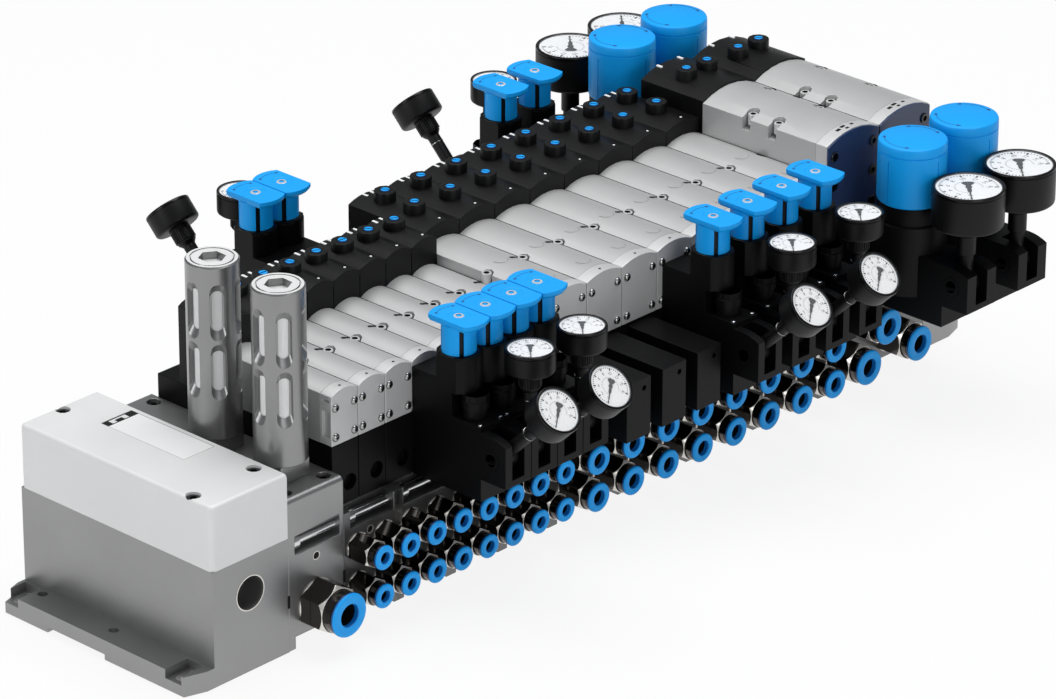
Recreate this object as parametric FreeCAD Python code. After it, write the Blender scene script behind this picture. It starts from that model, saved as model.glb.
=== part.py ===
import FreeCAD, Part
import math
import os
from collections import namedtuple

# Pneumatic valve island, in millimetres, +Z up. The origin is on the underside, at the
# middle of the row of sub-bases. X runs along the row, and the tube ports face -Y.

vector = FreeCAD.Vector

# The row of valves and the sub-bases under it
small_pitch = 19.0
medium_pitch = 27.0
large_pitch = 43.0
small_valves = 8
medium_valves = 8
large_valves = 2
valves_per_block = 2
manifold_depth = 138.5
manifold_height = 62.6
seam = 0.4
hexagon_sides = 6

# Pockets for the tie bolts along the long edges of the sub-bases
rib_left = 4.7
rib_right = 2.7
pocket_depth = 9.0
upper_pocket_height = 9.9
lower_pocket_height = 8.2
tie_bolt_head = 8.0
tie_bolt_head_length = 4.5
tie_bolt_shank = 5.0
tie_bolt_flat_count = 6

# Stacking plates between the sub-bases and the valves
stack_height = 34.4
small_plate_front = 8.0
medium_plate_front = 1.0
large_plate_front = 1.0
small_plate_back = 134.0
medium_plate_back = 151.0
large_plate_back = 137.0
gallery_hole = 9.0
gallery_hole_depth = 4.0
gallery_hole_shift = 3.2
gallery_hole_height = 11.0
gallery_hole_flat_count = 12

# Plain front extensions on the first medium stacking plates
nose_plates = 3
nose_width = 18.0
nose_reach = 49.2
nose_height = 32.9
nose_hole = 3.0
nose_hole_drop = 5.5
nose_hole_shift = 4.0
nose_hole_flat_count = 8

# Valves: the end cap, the body behind it and the pilot housing at the back
cap_thickness = 8.0
small_body_length = 66.0
medium_body_length = 83.0
large_body_length = 81.0
small_pilot_length = 35.5
medium_pilot_length = 55.5
large_pilot_length = 45.4
small_body_side = 27.3
medium_body_side = 33.2
large_body_side = 51.0
arch_flat_count = 6
small_crown = 2.8
medium_crown = 2.9
large_crown = 5.0
small_pilot_side = 42.8
medium_pilot_side = 41.8
large_pilot_side = 52.2

# Hold-down screw recesses in the tops of the valve bodies
recess_diameter = 7.6
recess_depth = 7.0
recess_flat_count = 8
small_recess_setback = 40.0
medium_recess_setback = 45.5
large_left_recesses = (39.0, 57.5)
large_right_recesses = (36.5, 72.5)
large_recess_inset = 6.0

# Manual override: a plunger in a raised boss on the pilot housing
boss_diameter = 11.8
boss_flat_count = 10
small_boss_height = 7.2
medium_boss_height = 8.5
large_boss_height = 9.4
plunger_diameter = 5.5
plunger_flat_count = 8
plunger_length = 4.0
plunger_proud = 0.4
plunger_travel = 1.5
plunger_clearance = 0.15
small_boss_setback = 22.0
medium_boss_setback = 19.7
medium_boss_spacing = 21.6
large_boss_setback = 23.6
large_boss_spacing = 17.0

# Push-in fittings: tube size, release collar, spanner size, reach from the port face
small_tube = 6.0
medium_tube = 8.0
large_tube = 10.0
supply_tube = 12.0
small_collar = 13.0
medium_collar = 16.0
large_collar = 20.0
supply_collar = 23.5
small_spanner = 14.0
medium_spanner = 17.0
large_spanner = 21.0
supply_spanner = 24.0
small_reach = 19.9
medium_reach = 21.8
large_reach = 22.8
supply_reach = 23.5
collar_thickness = 2.2
hexagon_share = 6.5
supply_hexagon_share = 8.0
tube_clearance = 0.1
tube_stop = 4.0
fitting_shoulder = 0.4
fitting_flat_count = 10
collar_clearance = 0.2

# Heights and side shifts of the ports in the front face
small_lower_port = 20.0
small_upper_port = 41.6
medium_lower_port = 19.5
medium_upper_port = 41.0
large_lower_port = 20.6
large_upper_port = 39.6
large_port_shift = 8.0
supply_port = 21.5

# Regulators on the small and medium valves
regulator_width = 18.6
small_front_column = -16.0
medium_front_column = -25.5
small_back_column = 168.0
medium_back_column = 177.5
foot_reach = 24.0
foot_height = 12.4
fork_reach = 41.0
fork_height = 38.2
fork_round_run = 12.0
fork_round_drop = 3.0
fork_gap = 8.7
fork_gap_foot = 3.0
flange_reach = 23.6
flange_height = 40.9
column_reach = 4.0
column_height = 59.6
sleeve_diameter = 23.0
sleeve_flat_count = 12
sleeve_rise = 53.8
sleeve_height = 73.4
plug_reach = 11.5
plug_neck = 12.0
plug_diameter = 14.0
plug_flat_count = 8
plug_cap_rise = 46.4

# T handle of a small or medium regulator
handle_clearance = 0.3
handle_flat_count = 12
handle_end_flat_count = 24
handle_stem = 18.0
handle_head_length = 31.0
handle_head_width = 18.3
handle_head_thickness = 3.6
handle_height = 92.4

# Regulators on the large valves
large_front_column = -40.7
large_back_column = 169.0
large_regulator_width = 24.0
large_foot_reach = 33.3
large_fork_reach = 50.3
large_fork_height = 36.4
large_fork_gap = 9.0
large_column_diameter = 40.0
large_column_flat_count = 18
large_column_height = 51.9
large_ring_diameter = 36.0
large_ring_height = 61.8
knob_diameter = 37.5
knob_flat_count = 20
knob_height = 96.9
knob_groove_rise = 91.2
knob_groove = 0.6
knob_clearance = 0.3

# Pressure gauges on their swivels
swivel_rise = 25.4
swivel_setback = 31.0
large_swivel_setback = 39.0
swivel_diameter = 13.0
swivel_pin = 4.4
swivel_flat_count = 8
pin_flat_count = 8
swivel_clearance = 0.3
pin_clearance = 0.3
gauge_tilt = 45.0
gauge_flat_count = 14
gauge_neck_flat_count = 8
gauge_stem_flat_count = 6
gauge_diameter = 26.0
gauge_case_bottom = 39.9
gauge_case_top = 53.0
gauge_neck_bottom = 31.0
gauge_neck = 12.0
gauge_stem = 7.0
gauge_rim = 1.2
gauge_dial_depth = 1.6
gauge_dial_thickness = 0.8
gauge_dial_clearance = 0.1
large_gauge_diameter = 39.5
large_gauge_case_bottom = 33.0
large_gauge_case_top = 55.0
large_gauge_neck_bottom = 28.0
large_gauge_neck = 15.0
large_gauge_stem = 8.0

# Which valves of each size carry a regulator, counted from the supply end
small_front_regulators = (3, 4, 5, 6)
small_back_regulators = (5, 6)
medium_front_regulators = (3, 4, 5, 6)
medium_back_regulators = (5, 6)
large_regulators = (0, 1)

# Supply plate with its silencers
supply_width = 39.0
supply_height = 84.0
supply_rounding = 3.0
supply_port_inset = 19.5
gauge_port = 4.5
gauge_port_height = 47.0
gauge_port_depth = 6.0
gauge_port_flat_count = 8
silencer_inset = 19.5
silencer_setback = 24.0
silencer_spacing = 46.6
silencer_diameter = 27.5
silencer_flat_count = 20
silencer_wall = 2.6
silencer_stub = 20.0
silencer_stub_height = 9.5
silencer_height = 104.0
silencer_lid = 6.0
silencer_socket = 10.0
silencer_socket_depth = 4.0
slot_count = 6
slot_width = 8.0
slot_corner = 2.4
lower_slot_rise = 22.0
slot_height = 32.0
slot_bridge = 8.0
filter_clearance = 0.2

# End block with its cover, and the right end plate
end_block_length = 51.6
end_block_height = 63.4
end_cover_height = 35.4
end_corner_radius = 3.0
cover_edge_radius = 2.2
label_inset = 2.3
label_width = 21.1
label_setback = 48.6
label_length = 60.4
label_depth = 0.4
cable_hole = 18.0
cable_hole_inset = 26.4
cable_hole_height = 43.3
cable_hole_depth = 24.0
end_plate_width = 18.6
flange_width = 17.4
flange_thickness = 11.0
flange_chamfer_length = 12.5
flange_chamfer_depth = 4.0
mounting_slot_width = 6.6
mounting_slot_length = 6.0
mounting_slot_outset = 9.0
mounting_slot_setback = 11.3
mounting_slot_spacing = 119.2
slot_pocket_width = 11.5
slot_pocket_depth = 5.0
middle_hole = 5.4
middle_hole_outset = 10.6
middle_hole_setback = 65.4
flange_hole_flat_count = 12
locating_hole = 5.4
locating_hole_outset = 12.6
locating_hole_setback = 120.0
foot_relief = 3.0
foot_relief_start = 61.0
foot_relief_length = 42.0

# Screws that show in the cover and the supply plate
screw_flat_count = 8
screw_seat_flat_count = 12
cover_screw = 7.6
cover_screw_seat = 8.0
cover_screw_depth = 2.6
cover_screw_edge = 4.3
cover_right_screw_edge = 6.3
cover_front_screw_setback = 16.8
plate_screw = 7.0
plate_screw_seat = 7.6
plate_screw_depth = 3.0
plate_screw_inset = 6.0
plate_screw_setback = 8.0

# Places that follow from the sizes above
row_length = small_valves * small_pitch + medium_valves * medium_pitch + large_valves * large_pitch
row_start = -row_length / 2
row_end = row_length / 2
port_face = -manifold_depth / 2
back_face = manifold_depth / 2
stack_top = manifold_height + stack_height
foot_top = manifold_height + foot_height
fork_top = manifold_height + fork_height
large_fork_top = manifold_height + large_fork_height
flange_top = manifold_height + flange_height
column_top = manifold_height + column_height
plug_cap_bottom = manifold_height + plug_cap_rise
sleeve_bottom = manifold_height + sleeve_rise
sleeve_top = manifold_height + sleeve_height
handle_top = manifold_height + handle_height
large_column_top = manifold_height + large_column_height
large_ring_top = manifold_height + large_ring_height
knob_groove_bottom = manifold_height + knob_groove_rise
knob_top = manifold_height + knob_height
swivel_height = manifold_height + swivel_rise
fork_gap_bottom = swivel_height - swivel_diameter / 2 - fork_gap_foot
silencer_bottom = supply_height + silencer_stub_height
lower_slot_bottom = supply_height + lower_slot_rise
silencer_top = supply_height + silencer_height
supply_left = row_start - supply_width
end_block_left = supply_left - end_block_length
flange_left = end_block_left - flange_width
end_plate_right = row_end + end_plate_width

Family = namedtuple("Family", "pitch plate_front plate_back body_length pilot_length "
                    "body_side crown pilot_side boss_height left_recesses right_recesses")
Fitting = namedtuple("Fitting", "tube collar spanner reach hexagon")
Gauge = namedtuple("Gauge", "diameter case_bottom case_top neck_bottom neck stem width")
Station = namedtuple("Station", "size index x")

families = {
    "small": Family(small_pitch, small_plate_front, small_plate_back, small_body_length,
                    small_pilot_length, small_body_side, small_crown, small_pilot_side,
                    small_boss_height, (small_recess_setback,), (small_recess_setback,)),
    "medium": Family(medium_pitch, medium_plate_front, medium_plate_back, medium_body_length,
                     medium_pilot_length, medium_body_side, medium_crown, medium_pilot_side,
                     medium_boss_height, (medium_recess_setback,), (medium_recess_setback,)),
    "large": Family(large_pitch, large_plate_front, large_plate_back, large_body_length,
                    large_pilot_length, large_body_side, large_crown, large_pilot_side,
                    large_boss_height, large_left_recesses, large_right_recesses),
}
fittings = {
    "small": Fitting(small_tube, small_collar, small_spanner, small_reach,
                     small_reach - hexagon_share),
    "medium": Fitting(medium_tube, medium_collar, medium_spanner, medium_reach,
                      medium_reach - hexagon_share),
    "large": Fitting(large_tube, large_collar, large_spanner, large_reach,
                     large_reach - hexagon_share),
    "supply": Fitting(supply_tube, supply_collar, supply_spanner, supply_reach,
                      supply_reach - supply_hexagon_share),
}
fork_gauge = Gauge(gauge_diameter, gauge_case_bottom, gauge_case_top, gauge_neck_bottom,
                   gauge_neck, gauge_stem, fork_gap - 2 * swivel_clearance)
large_gauge = Gauge(large_gauge_diameter, large_gauge_case_bottom, large_gauge_case_top,
                    large_gauge_neck_bottom, large_gauge_neck, large_gauge_stem,
                    large_fork_gap - 2 * swivel_clearance)


def behind(setback):
    """The Y of a point that lies a distance behind the port face."""
    return port_face + setback


def block(x0, x1, y0, y1, z0, z1):
    """A plain block between two corners."""
    return Part.makeBox(x1 - x0, y1 - y0, z1 - z0, vector(x0, y0, z0))


def push(points, direction):
    """A closed outline pushed along a direction."""
    outline = Part.makePolygon(points + points[:1])
    return Part.Face(outline).extrude(direction)


def flat_sided(diameter, flat_count, start, reach):
    """A bar with many flats, a light stand-in for a round one, with a corner up or along X."""
    corner = vector(0, 0, 1) if reach.z == 0 else vector(1, 0, 0)
    across = reach.cross(corner).normalize()
    turn = 2 * math.pi / flat_count
    points = [start + corner * (diameter / 2 * math.cos(i * turn))
              + across * (diameter / 2 * math.sin(i * turn)) for i in range(flat_count)]
    return push(points, reach)


def upright(diameter, flat_count, x, y, z0, z1):
    """A flat-sided bar that stands up."""
    return flat_sided(diameter, flat_count, vector(x, y, z0), vector(0, 0, z1 - z0))


def lengthwise(diameter, flat_count, y, z, x0, x1):
    """A flat-sided bar that lies along the row."""
    return flat_sided(diameter, flat_count, vector(x0, y, z), vector(x1 - x0, 0, 0))


def forward(diameter, flat_count, x, z, y0, y1):
    """A flat-sided bar that points from y0 to y1, across the row."""
    return flat_sided(diameter, flat_count, vector(x, y0, z), vector(0, y1 - y0, 0))


def round_hole(diameter, x, z, y0, y1):
    """A truly round bore from y0 to y1, for what has to fit in it."""
    return Part.makeCylinder(diameter / 2, y1 - y0, vector(x, y0, z), vector(0, 1, 0))


def joined(shapes):
    """Several shapes fused into one solid."""
    whole = shapes[0]
    if len(shapes) > 1:
        whole = whole.fuse(shapes[1:])
    return whole.removeSplitter()


def save(name, shapes):
    """One file for a sub-part, made of one solid or of several."""
    solids = [solid for shape in shapes for solid in shape.Solids]
    shape = solids[0] if len(solids) == 1 else Part.makeCompound(solids)
    shape.exportStep(os.path.join("parts", name + ".step"))


def stations():
    """Every valve station from the supply end, with its size, number and middle."""
    places = []
    edge = row_start
    counts = (("small", small_valves), ("medium", medium_valves), ("large", large_valves))
    for size, count in counts:
        pitch = families[size].pitch
        for index in range(count):
            places.append(Station(size, index, edge + pitch / 2))
            edge += pitch
    return places


def sub_base_edges():
    """The left and right edge of each sub-base: a small or medium one carries two valves."""
    edges = []
    left = row_start
    counts = ((small_valves, small_pitch, valves_per_block),
              (medium_valves, medium_pitch, valves_per_block),
              (large_valves, large_pitch, 1))
    for count, pitch, per_block in counts:
        for _ in range(count // per_block):
            edges.append((left, left + pitch * per_block))
            left += pitch * per_block
    return edges


def tie_bolt_pockets(left, right):
    """Pockets along the long edges of a sub-base, front and back, open at top and bottom."""
    x0 = left + rib_left
    x1 = right - rib_right
    pockets = []
    for y0, y1 in ((port_face, port_face + pocket_depth), (back_face - pocket_depth, back_face)):
        top = manifold_height - upper_pocket_height
        pockets.append(block(x0, x1, y0, y1, top, manifold_height))
        pockets.append(block(x0, x1, y0, y1, 0, lower_pocket_height))
    return pockets


def sub_bases():
    """Aluminium sub-bases, each with ribs at its ends and pockets for the tie bolts."""
    blocks = []
    for left, right in sub_base_edges():
        base = block(left, right, port_face, back_face, 0, manifold_height)
        blocks.append(base.cut(tie_bolt_pockets(left, right)))
    return blocks


def tie_bolt(left, right, y, z):
    """A tie bolt with its head against the left rib of a pocket."""
    x0 = left + rib_left
    neck = x0 + tie_bolt_head_length
    head = lengthwise(tie_bolt_head, tie_bolt_flat_count, y, z, x0, neck)
    shank = lengthwise(tie_bolt_shank, tie_bolt_flat_count, y, z, neck, right - rib_right)
    return joined([head, shank])


def stacking_plate(station):
    """A black plate under one valve, with a gallery hole or a plain nose in front."""
    family = families[station.size]
    half = (family.pitch - seam) / 2
    front = behind(family.plate_front)
    plate = block(station.x - half, station.x + half, front, behind(family.plate_back),
                  manifold_height, stack_top)
    if station.size == "medium" and station.index < nose_plates:
        nose = block(station.x - nose_width / 2, station.x + nose_width / 2, front - nose_reach,
                     front, manifold_height, manifold_height + nose_height)
        hole = forward(nose_hole, nose_hole_flat_count, station.x + nose_hole_shift,
                       manifold_height + nose_height - nose_hole_drop, front - nose_reach,
                       front - nose_reach + gallery_hole_depth)
        return joined([plate, nose]).cut(hole)
    if station.size == "small" and station.index not in small_front_regulators:
        hole = forward(gallery_hole, gallery_hole_flat_count, station.x + gallery_hole_shift,
                       manifold_height + gallery_hole_height, front, front + gallery_hole_depth)
        return plate.cut(hole)
    return plate


def arched(x, width, y0, y1, z0, side_top, crown):
    """A block whose top is a shallow arch across its width, drawn with a few flats."""
    half = width / 2
    radius = (half ** 2 + crown ** 2) / (2 * crown)
    centre = side_top + crown - radius
    reach = math.asin(half / radius)
    turns = [reach * (2 * i / arch_flat_count - 1) for i in range(arch_flat_count + 1)]
    top = [vector(x + radius * math.sin(turn), y0, centre + radius * math.cos(turn)) for turn in turns]
    return push(top + [vector(x + half, y0, z0), vector(x - half, y0, z0)], vector(0, y1 - y0, 0))


def valve_arch(station, y0, y1, side):
    """An arched slice of one valve, as wide as its station."""
    family = families[station.size]
    return arched(station.x, family.pitch - seam, y0, y1, stack_top, stack_top + side, family.crown)


def cap_back(family):
    """The joint between a valve's end cap and its body."""
    return behind(family.plate_front + cap_thickness)


def pilot_front(family):
    """The joint between a valve's body and its pilot housing."""
    return cap_back(family) + family.body_length


def end_cap(station):
    """The cast end cap at the front of a valve."""
    family = families[station.size]
    return valve_arch(station, behind(family.plate_front), cap_back(family), family.body_side)


def recess_places(station):
    """Where the hold-down screws sit: on the seams, or inside the edges of a large valve."""
    family = families[station.size]
    front = behind(family.plate_front)
    inset = large_recess_inset if station.size == "large" else 0
    shift = family.pitch / 2 - inset
    left = [(station.x - shift, front + setback) for setback in family.left_recesses]
    right = [(station.x + shift, front + setback) for setback in family.right_recesses]
    return left + right


def valve_body(station):
    """The aluminium body of a valve with its screw recesses."""
    family = families[station.size]
    body = valve_arch(station, cap_back(family), pilot_front(family), family.body_side)
    top = stack_top + family.body_side
    wells = [upright(recess_diameter, recess_flat_count, x, y, top - recess_depth, top + family.crown)
             for x, y in recess_places(station)]
    return body.cut(wells)


def plunger_places(station):
    """Where the manual overrides of one valve stand."""
    front = pilot_front(families[station.size])
    if station.size == "small":
        return [(station.x, front + small_boss_setback)]
    if station.size == "medium":
        return [(station.x, front + medium_boss_setback + i * medium_boss_spacing) for i in (0, 1)]
    return [(station.x + side * large_boss_spacing / 2, front + large_boss_setback)
            for side in (-1, 1)]


def boss_top(station):
    """The height of the bosses on a pilot housing."""
    family = families[station.size]
    return stack_top + family.pilot_side + family.boss_height


def pilot_housing(station):
    """A moulded pilot housing with a raised boss round each manual override."""
    family = families[station.size]
    front = pilot_front(family)
    shell = valve_arch(station, front, front + family.pilot_length, family.pilot_side)
    top = boss_top(station)
    well = plunger_diameter + 2 * plunger_clearance
    floor = top + plunger_proud - plunger_length - plunger_travel - plunger_clearance
    places = plunger_places(station)
    bosses = [upright(boss_diameter, boss_flat_count, x, y, top - family.boss_height, top)
              for x, y in places]
    wells = [upright(well, plunger_flat_count, x, y, floor, top) for x, y in places]
    return joined([shell] + bosses).cut(wells)


def plunger(station, place):
    """The plunger of one manual override, a little proud of its boss."""
    top = boss_top(station) + plunger_proud
    x, y = place
    return upright(plunger_diameter, plunger_flat_count, x, y, top - plunger_length, top)


def across_corners(across_flats):
    """The size of a hexagon over its corners."""
    return across_flats / math.cos(math.pi / hexagon_sides)


def port_places():
    """Every tube port in the port face, with the fitting that it takes."""
    places = [("supply", row_start - supply_port_inset, supply_port)]
    for station in stations():
        if station.size == "small":
            places.append(("small", station.x, small_lower_port))
            places.append(("small", station.x, small_upper_port))
        elif station.size == "medium":
            places.append(("medium", station.x, medium_lower_port))
            places.append(("medium", station.x, medium_upper_port))
        else:
            places.append(("large", station.x - large_port_shift, large_lower_port))
            places.append(("large", station.x + large_port_shift, large_upper_port))
    return places


def fitting_body(size, x, z):
    """The nickel-plated body of a push-in fitting, a hexagon and a neck bored for the tube."""
    fitting = fittings[size]
    hexagon_front = port_face - fitting.hexagon
    spanner = forward(across_corners(fitting.spanner), hexagon_sides, x, z, port_face, hexagon_front)
    front = port_face - fitting.reach + collar_thickness
    neck = forward(fitting.collar - 2 * fitting_shoulder, fitting_flat_count, x, z, hexagon_front, front)
    bore = round_hole(fitting.tube + tube_clearance, x, z, front, port_face - tube_stop)
    return joined([spanner, neck]).cut(bore)


def release_collar(size, x, z):
    """The release collar that is pushed in to free the tube."""
    fitting = fittings[size]
    front = port_face - fitting.reach
    back = front + collar_thickness
    ring = forward(fitting.collar, fitting_flat_count, x, z, front, back)
    opening = fitting.tube + tube_clearance + 2 * collar_clearance
    return ring.cut(forward(opening, fitting_flat_count, x, z, front, back))


def regulator_places():
    """Every regulator, with the plate edge it is bolted to, its column and its side."""
    columns = {
        "small": (small_front_regulators, small_front_column, small_back_regulators,
                  small_back_column),
        "medium": (medium_front_regulators, medium_front_column, medium_back_regulators,
                   medium_back_column),
        "large": (large_regulators, large_front_column, large_regulators, large_back_column),
    }
    places = []
    for station in stations():
        family = families[station.size]
        fronts, front_column, backs, back_column = columns[station.size]
        if station.index in fronts:
            places.append((station, behind(family.plate_front), behind(front_column), -1))
        if station.index in backs:
            places.append((station, behind(family.plate_back), behind(back_column), 1))
    return places


def housing_trunk(x, width, profile, fork_end, side, top):
    """A regulator's housing from its side profile, whose last stretch is the fork's round top."""
    left = x - width / 2
    points = [vector(left, y, z) for y, z in profile]
    run = side * fork_round_run
    start = vector(left, fork_end, top - fork_round_drop)
    middle = vector(left, fork_end - run / 2, top - fork_round_drop / 4)
    end = vector(left, fork_end - run, top)
    arc = Part.Arc(start, middle, end).toShape()
    lines = Part.makePolygon([end] + points + [start])
    outline = Part.Wire([arc] + lines.Edges)
    return Part.Face(outline).extrude(vector(width, 0, 0))


def fork_channel(x, gap, swivel, fork_end, side, top):
    """The gap between the two arms of a fork, as deep as the gauge's swivel needs."""
    start = swivel - side * (swivel_diameter / 2 + swivel_clearance)
    ends = sorted((start, fork_end))
    return block(x - gap / 2, x + gap / 2, ends[0], ends[1], fork_gap_bottom, top)


def swivel_pin_bar(x, gap, swivel):
    """The pin that carries a gauge between the arms of its fork."""
    return lengthwise(swivel_pin, pin_flat_count, swivel, swivel_height, x - gap / 2, x + gap / 2)


def regulator_housing(x, edge, column, side):
    """The housing of a small or medium regulator, with its flange, plug and sleeve."""
    def out(reach):
        return column + side * reach

    half = regulator_width / 2
    profile = [(out(flange_reach), fork_top), (out(flange_reach), flange_top),
               (out(column_reach), flange_top), (out(column_reach), column_top), (edge, column_top),
               (edge, manifold_height), (out(foot_reach), manifold_height),
               (out(foot_reach), foot_top), (out(fork_reach), foot_top)]
    trunk = housing_trunk(x, regulator_width, profile, out(fork_reach), side, fork_top)
    plug_y = out(plug_reach)
    neck = upright(plug_neck, plug_flat_count, x, plug_y, flange_top, plug_cap_bottom)
    plug = upright(plug_diameter, plug_flat_count, x, plug_y, plug_cap_bottom, sleeve_bottom)
    sleeve = upright(sleeve_diameter, sleeve_flat_count, x, column, sleeve_bottom, sleeve_top)
    sides = block(x - half, x + half, column - sleeve_diameter, column + sleeve_diameter,
                  sleeve_bottom, sleeve_top)
    swivel = out(swivel_setback)
    channel = fork_channel(x, fork_gap, swivel, out(fork_reach), side, fork_top)
    body = joined([trunk, neck, plug, sleeve.common(sides)]).cut(channel)
    return joined([body, swivel_pin_bar(x, fork_gap, swivel)])


def large_regulator_housing(x, edge, column, side):
    """The housing of a large regulator: a foot and fork with a round column."""
    def out(reach):
        return column + side * reach

    profile = [(edge, large_fork_top), (edge, manifold_height),
               (out(large_foot_reach), manifold_height), (out(large_foot_reach), foot_top),
               (out(large_fork_reach), foot_top)]
    trunk = housing_trunk(x, large_regulator_width, profile, out(large_fork_reach), side,
                          large_fork_top)
    column_bar = upright(large_column_diameter, large_column_flat_count, x, column, foot_top,
                         large_column_top)
    ring = upright(large_ring_diameter, large_column_flat_count, x, column, large_column_top,
                   large_ring_top)
    swivel = out(large_swivel_setback)
    channel = fork_channel(x, large_fork_gap, swivel, out(large_fork_reach), side, large_fork_top)
    body = joined([trunk, column_bar, ring]).cut(channel)
    return joined([body, swivel_pin_bar(x, large_fork_gap, swivel)])


def t_handle(x, y):
    """The T handle of a regulator: a flat head with curved ends on a round stem."""
    bottom = sleeve_top + handle_clearance
    under_head = handle_top - handle_head_thickness
    stem = upright(handle_stem, handle_flat_count, x, y, bottom, under_head)
    disc = upright(handle_head_length, handle_end_flat_count, x, y, under_head, handle_top)
    half = handle_head_width / 2
    bar = block(x - half, x + half, y - handle_head_length, y + handle_head_length,
                under_head, handle_top)
    return joined([stem, disc.common(bar)])


def round_knob(x, y):
    """The round knob of a large regulator, with a shallow groove under its cap."""
    bottom = large_ring_top + knob_clearance
    groove_top = knob_groove_bottom + knob_groove
    grip = upright(knob_diameter, knob_flat_count, x, y, bottom, knob_groove_bottom)
    groove = upright(knob_diameter - 2 * knob_groove, knob_flat_count, x, y, knob_groove_bottom,
                     groove_top)
    cap = upright(knob_diameter, knob_flat_count, x, y, groove_top, knob_top)
    return joined([grip, groove, cap])


def gauge_place(place):
    """The gauge of a regulator: its form, its swivel and its tilt away from the column."""
    station, _, column, side = place
    if station.size == "large":
        return large_gauge, vector(station.x, column + side * large_swivel_setback, swivel_height), 0
    tilt = gauge_tilt if station.index % 2 else 0
    swivel = vector(station.x, column + side * swivel_setback, swivel_height)
    return fork_gauge, swivel, -side * tilt


def set_up(shape, swivel, tilt):
    """Tilts a gauge drawn upright at the origin and puts it on its swivel."""
    shape.rotate(vector(0, 0, 0), vector(1, 0, 0), tilt)
    shape.translate(swivel)
    return shape


def gauge_case(place):
    """A gauge case with its neck, stem and swivel eye."""
    gauge, swivel, tilt = gauge_place(place)
    half = gauge.width / 2
    eye = lengthwise(swivel_diameter, swivel_flat_count, 0, 0, -half, half)
    stem = upright(gauge.stem, gauge_stem_flat_count, 0, 0, 0, gauge.neck_bottom)
    neck = upright(gauge.neck, gauge_neck_flat_count, 0, 0, gauge.neck_bottom, gauge.case_bottom)
    case = upright(gauge.diameter, gauge_flat_count, 0, 0, gauge.case_bottom, gauge.case_top)
    well = upright(gauge.diameter - 2 * gauge_rim, gauge_flat_count, 0, 0,
                   gauge.case_top - gauge_dial_depth, gauge.case_top)
    pin_hole = lengthwise(swivel_pin + 2 * pin_clearance, pin_flat_count, 0, 0, -half, half)
    return set_up(joined([eye, stem, neck, case]).cut([well, pin_hole]), swivel, tilt)


def gauge_dial(place):
    """The round dial that lies in the well of a gauge case."""
    gauge, swivel, tilt = gauge_place(place)
    bottom = gauge.case_top - gauge_dial_depth
    diameter = gauge.diameter - 2 * gauge_rim - 2 * gauge_dial_clearance
    dial = upright(diameter, gauge_flat_count, 0, 0, bottom, bottom + gauge_dial_thickness)
    return set_up(dial, swivel, tilt)


def plate_screw_places():
    """The four corner screws in the top of the supply plate."""
    return [(x, y) for x in (supply_left + plate_screw_inset, row_start - plate_screw_inset)
            for y in (port_face + plate_screw_setback, back_face - plate_screw_setback)]


def supply_plate():
    """The supply plate: a tall block with a rounded front edge, ports and screw seats."""
    plate = block(supply_left, row_start, port_face, back_face, 0, supply_height)
    front_top = [edge for edge in plate.Edges
                 if edge.BoundBox.ZMin > supply_height - supply_rounding
                 and edge.BoundBox.YMax < port_face + supply_rounding]
    plate = plate.makeFillet(supply_rounding, front_top)
    x = row_start - supply_port_inset
    gauge_hole = forward(gauge_port, gauge_port_flat_count, x, gauge_port_height, port_face,
                         port_face + gauge_port_depth)
    seats = [upright(plate_screw_seat, screw_seat_flat_count, sx, sy,
                     supply_height - plate_screw_depth, supply_height)
             for sx, sy in plate_screw_places()]
    top = manifold_height - upper_pocket_height
    upper = block(supply_left + rib_left, row_start - rib_right, port_face,
                  port_face + pocket_depth, top, manifold_height)
    lower = block(supply_left + rib_left, row_start - rib_right, port_face,
                  port_face + pocket_depth, 0, lower_pocket_height)
    return plate.cut([gauge_hole, upper, lower] + seats)


def silencer_places():
    """The two silencers on top of the supply plate."""
    x = row_start - silencer_inset
    return [(x, behind(silencer_setback + i * silencer_spacing)) for i in (0, 1)]


def slot_outline(half_width, z0, z1):
    """A tall slot with cut corners, in the plane through the silencer's axis."""
    corner = slot_corner
    return [(-half_width, z0 + corner), (-half_width + corner, z0), (half_width - corner, z0),
            (half_width, z0 + corner), (half_width, z1 - corner), (half_width - corner, z1),
            (-half_width + corner, z1), (-half_width, z1 - corner)]


def silencer_shell(x, y):
    """A silencer: a slotted tube with a square foot and a lid with a hexagon socket."""
    foot = block(x - silencer_stub / 2, x + silencer_stub / 2, y - silencer_stub / 2,
                 y + silencer_stub / 2, supply_height, silencer_bottom)
    tube = upright(silencer_diameter, silencer_flat_count, x, y, silencer_bottom, silencer_top)
    hollow = upright(silencer_diameter - 2 * silencer_wall, silencer_flat_count, x, y,
                     lower_slot_bottom - slot_bridge, silencer_top - silencer_lid)
    cutters = [hollow]
    for row in (0, 1):
        z0 = lower_slot_bottom + row * (slot_height + slot_bridge)
        outline = slot_outline(slot_width / 2, z0, z0 + slot_height)
        for i in range(slot_count // 2):
            slot = push([vector(u, -silencer_diameter, z) for u, z in outline],
                        vector(0, 2 * silencer_diameter, 0))
            slot.rotate(vector(0, 0, 0), vector(0, 0, 1), i * 360 / slot_count)
            slot.translate(vector(x, y, 0))
            cutters.append(slot)
    socket = upright(across_corners(silencer_socket), hexagon_sides, x, y,
                     silencer_top - silencer_socket_depth, silencer_top)
    return joined([foot, tube]).cut(cutters + [socket])


def silencer_filter(x, y):
    """The porous filter tube that shows white through the slots."""
    diameter = silencer_diameter - 2 * silencer_wall - 2 * filter_clearance
    return upright(diameter, silencer_flat_count, x, y, lower_slot_bottom - slot_bridge,
                   silencer_top - silencer_lid)


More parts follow.
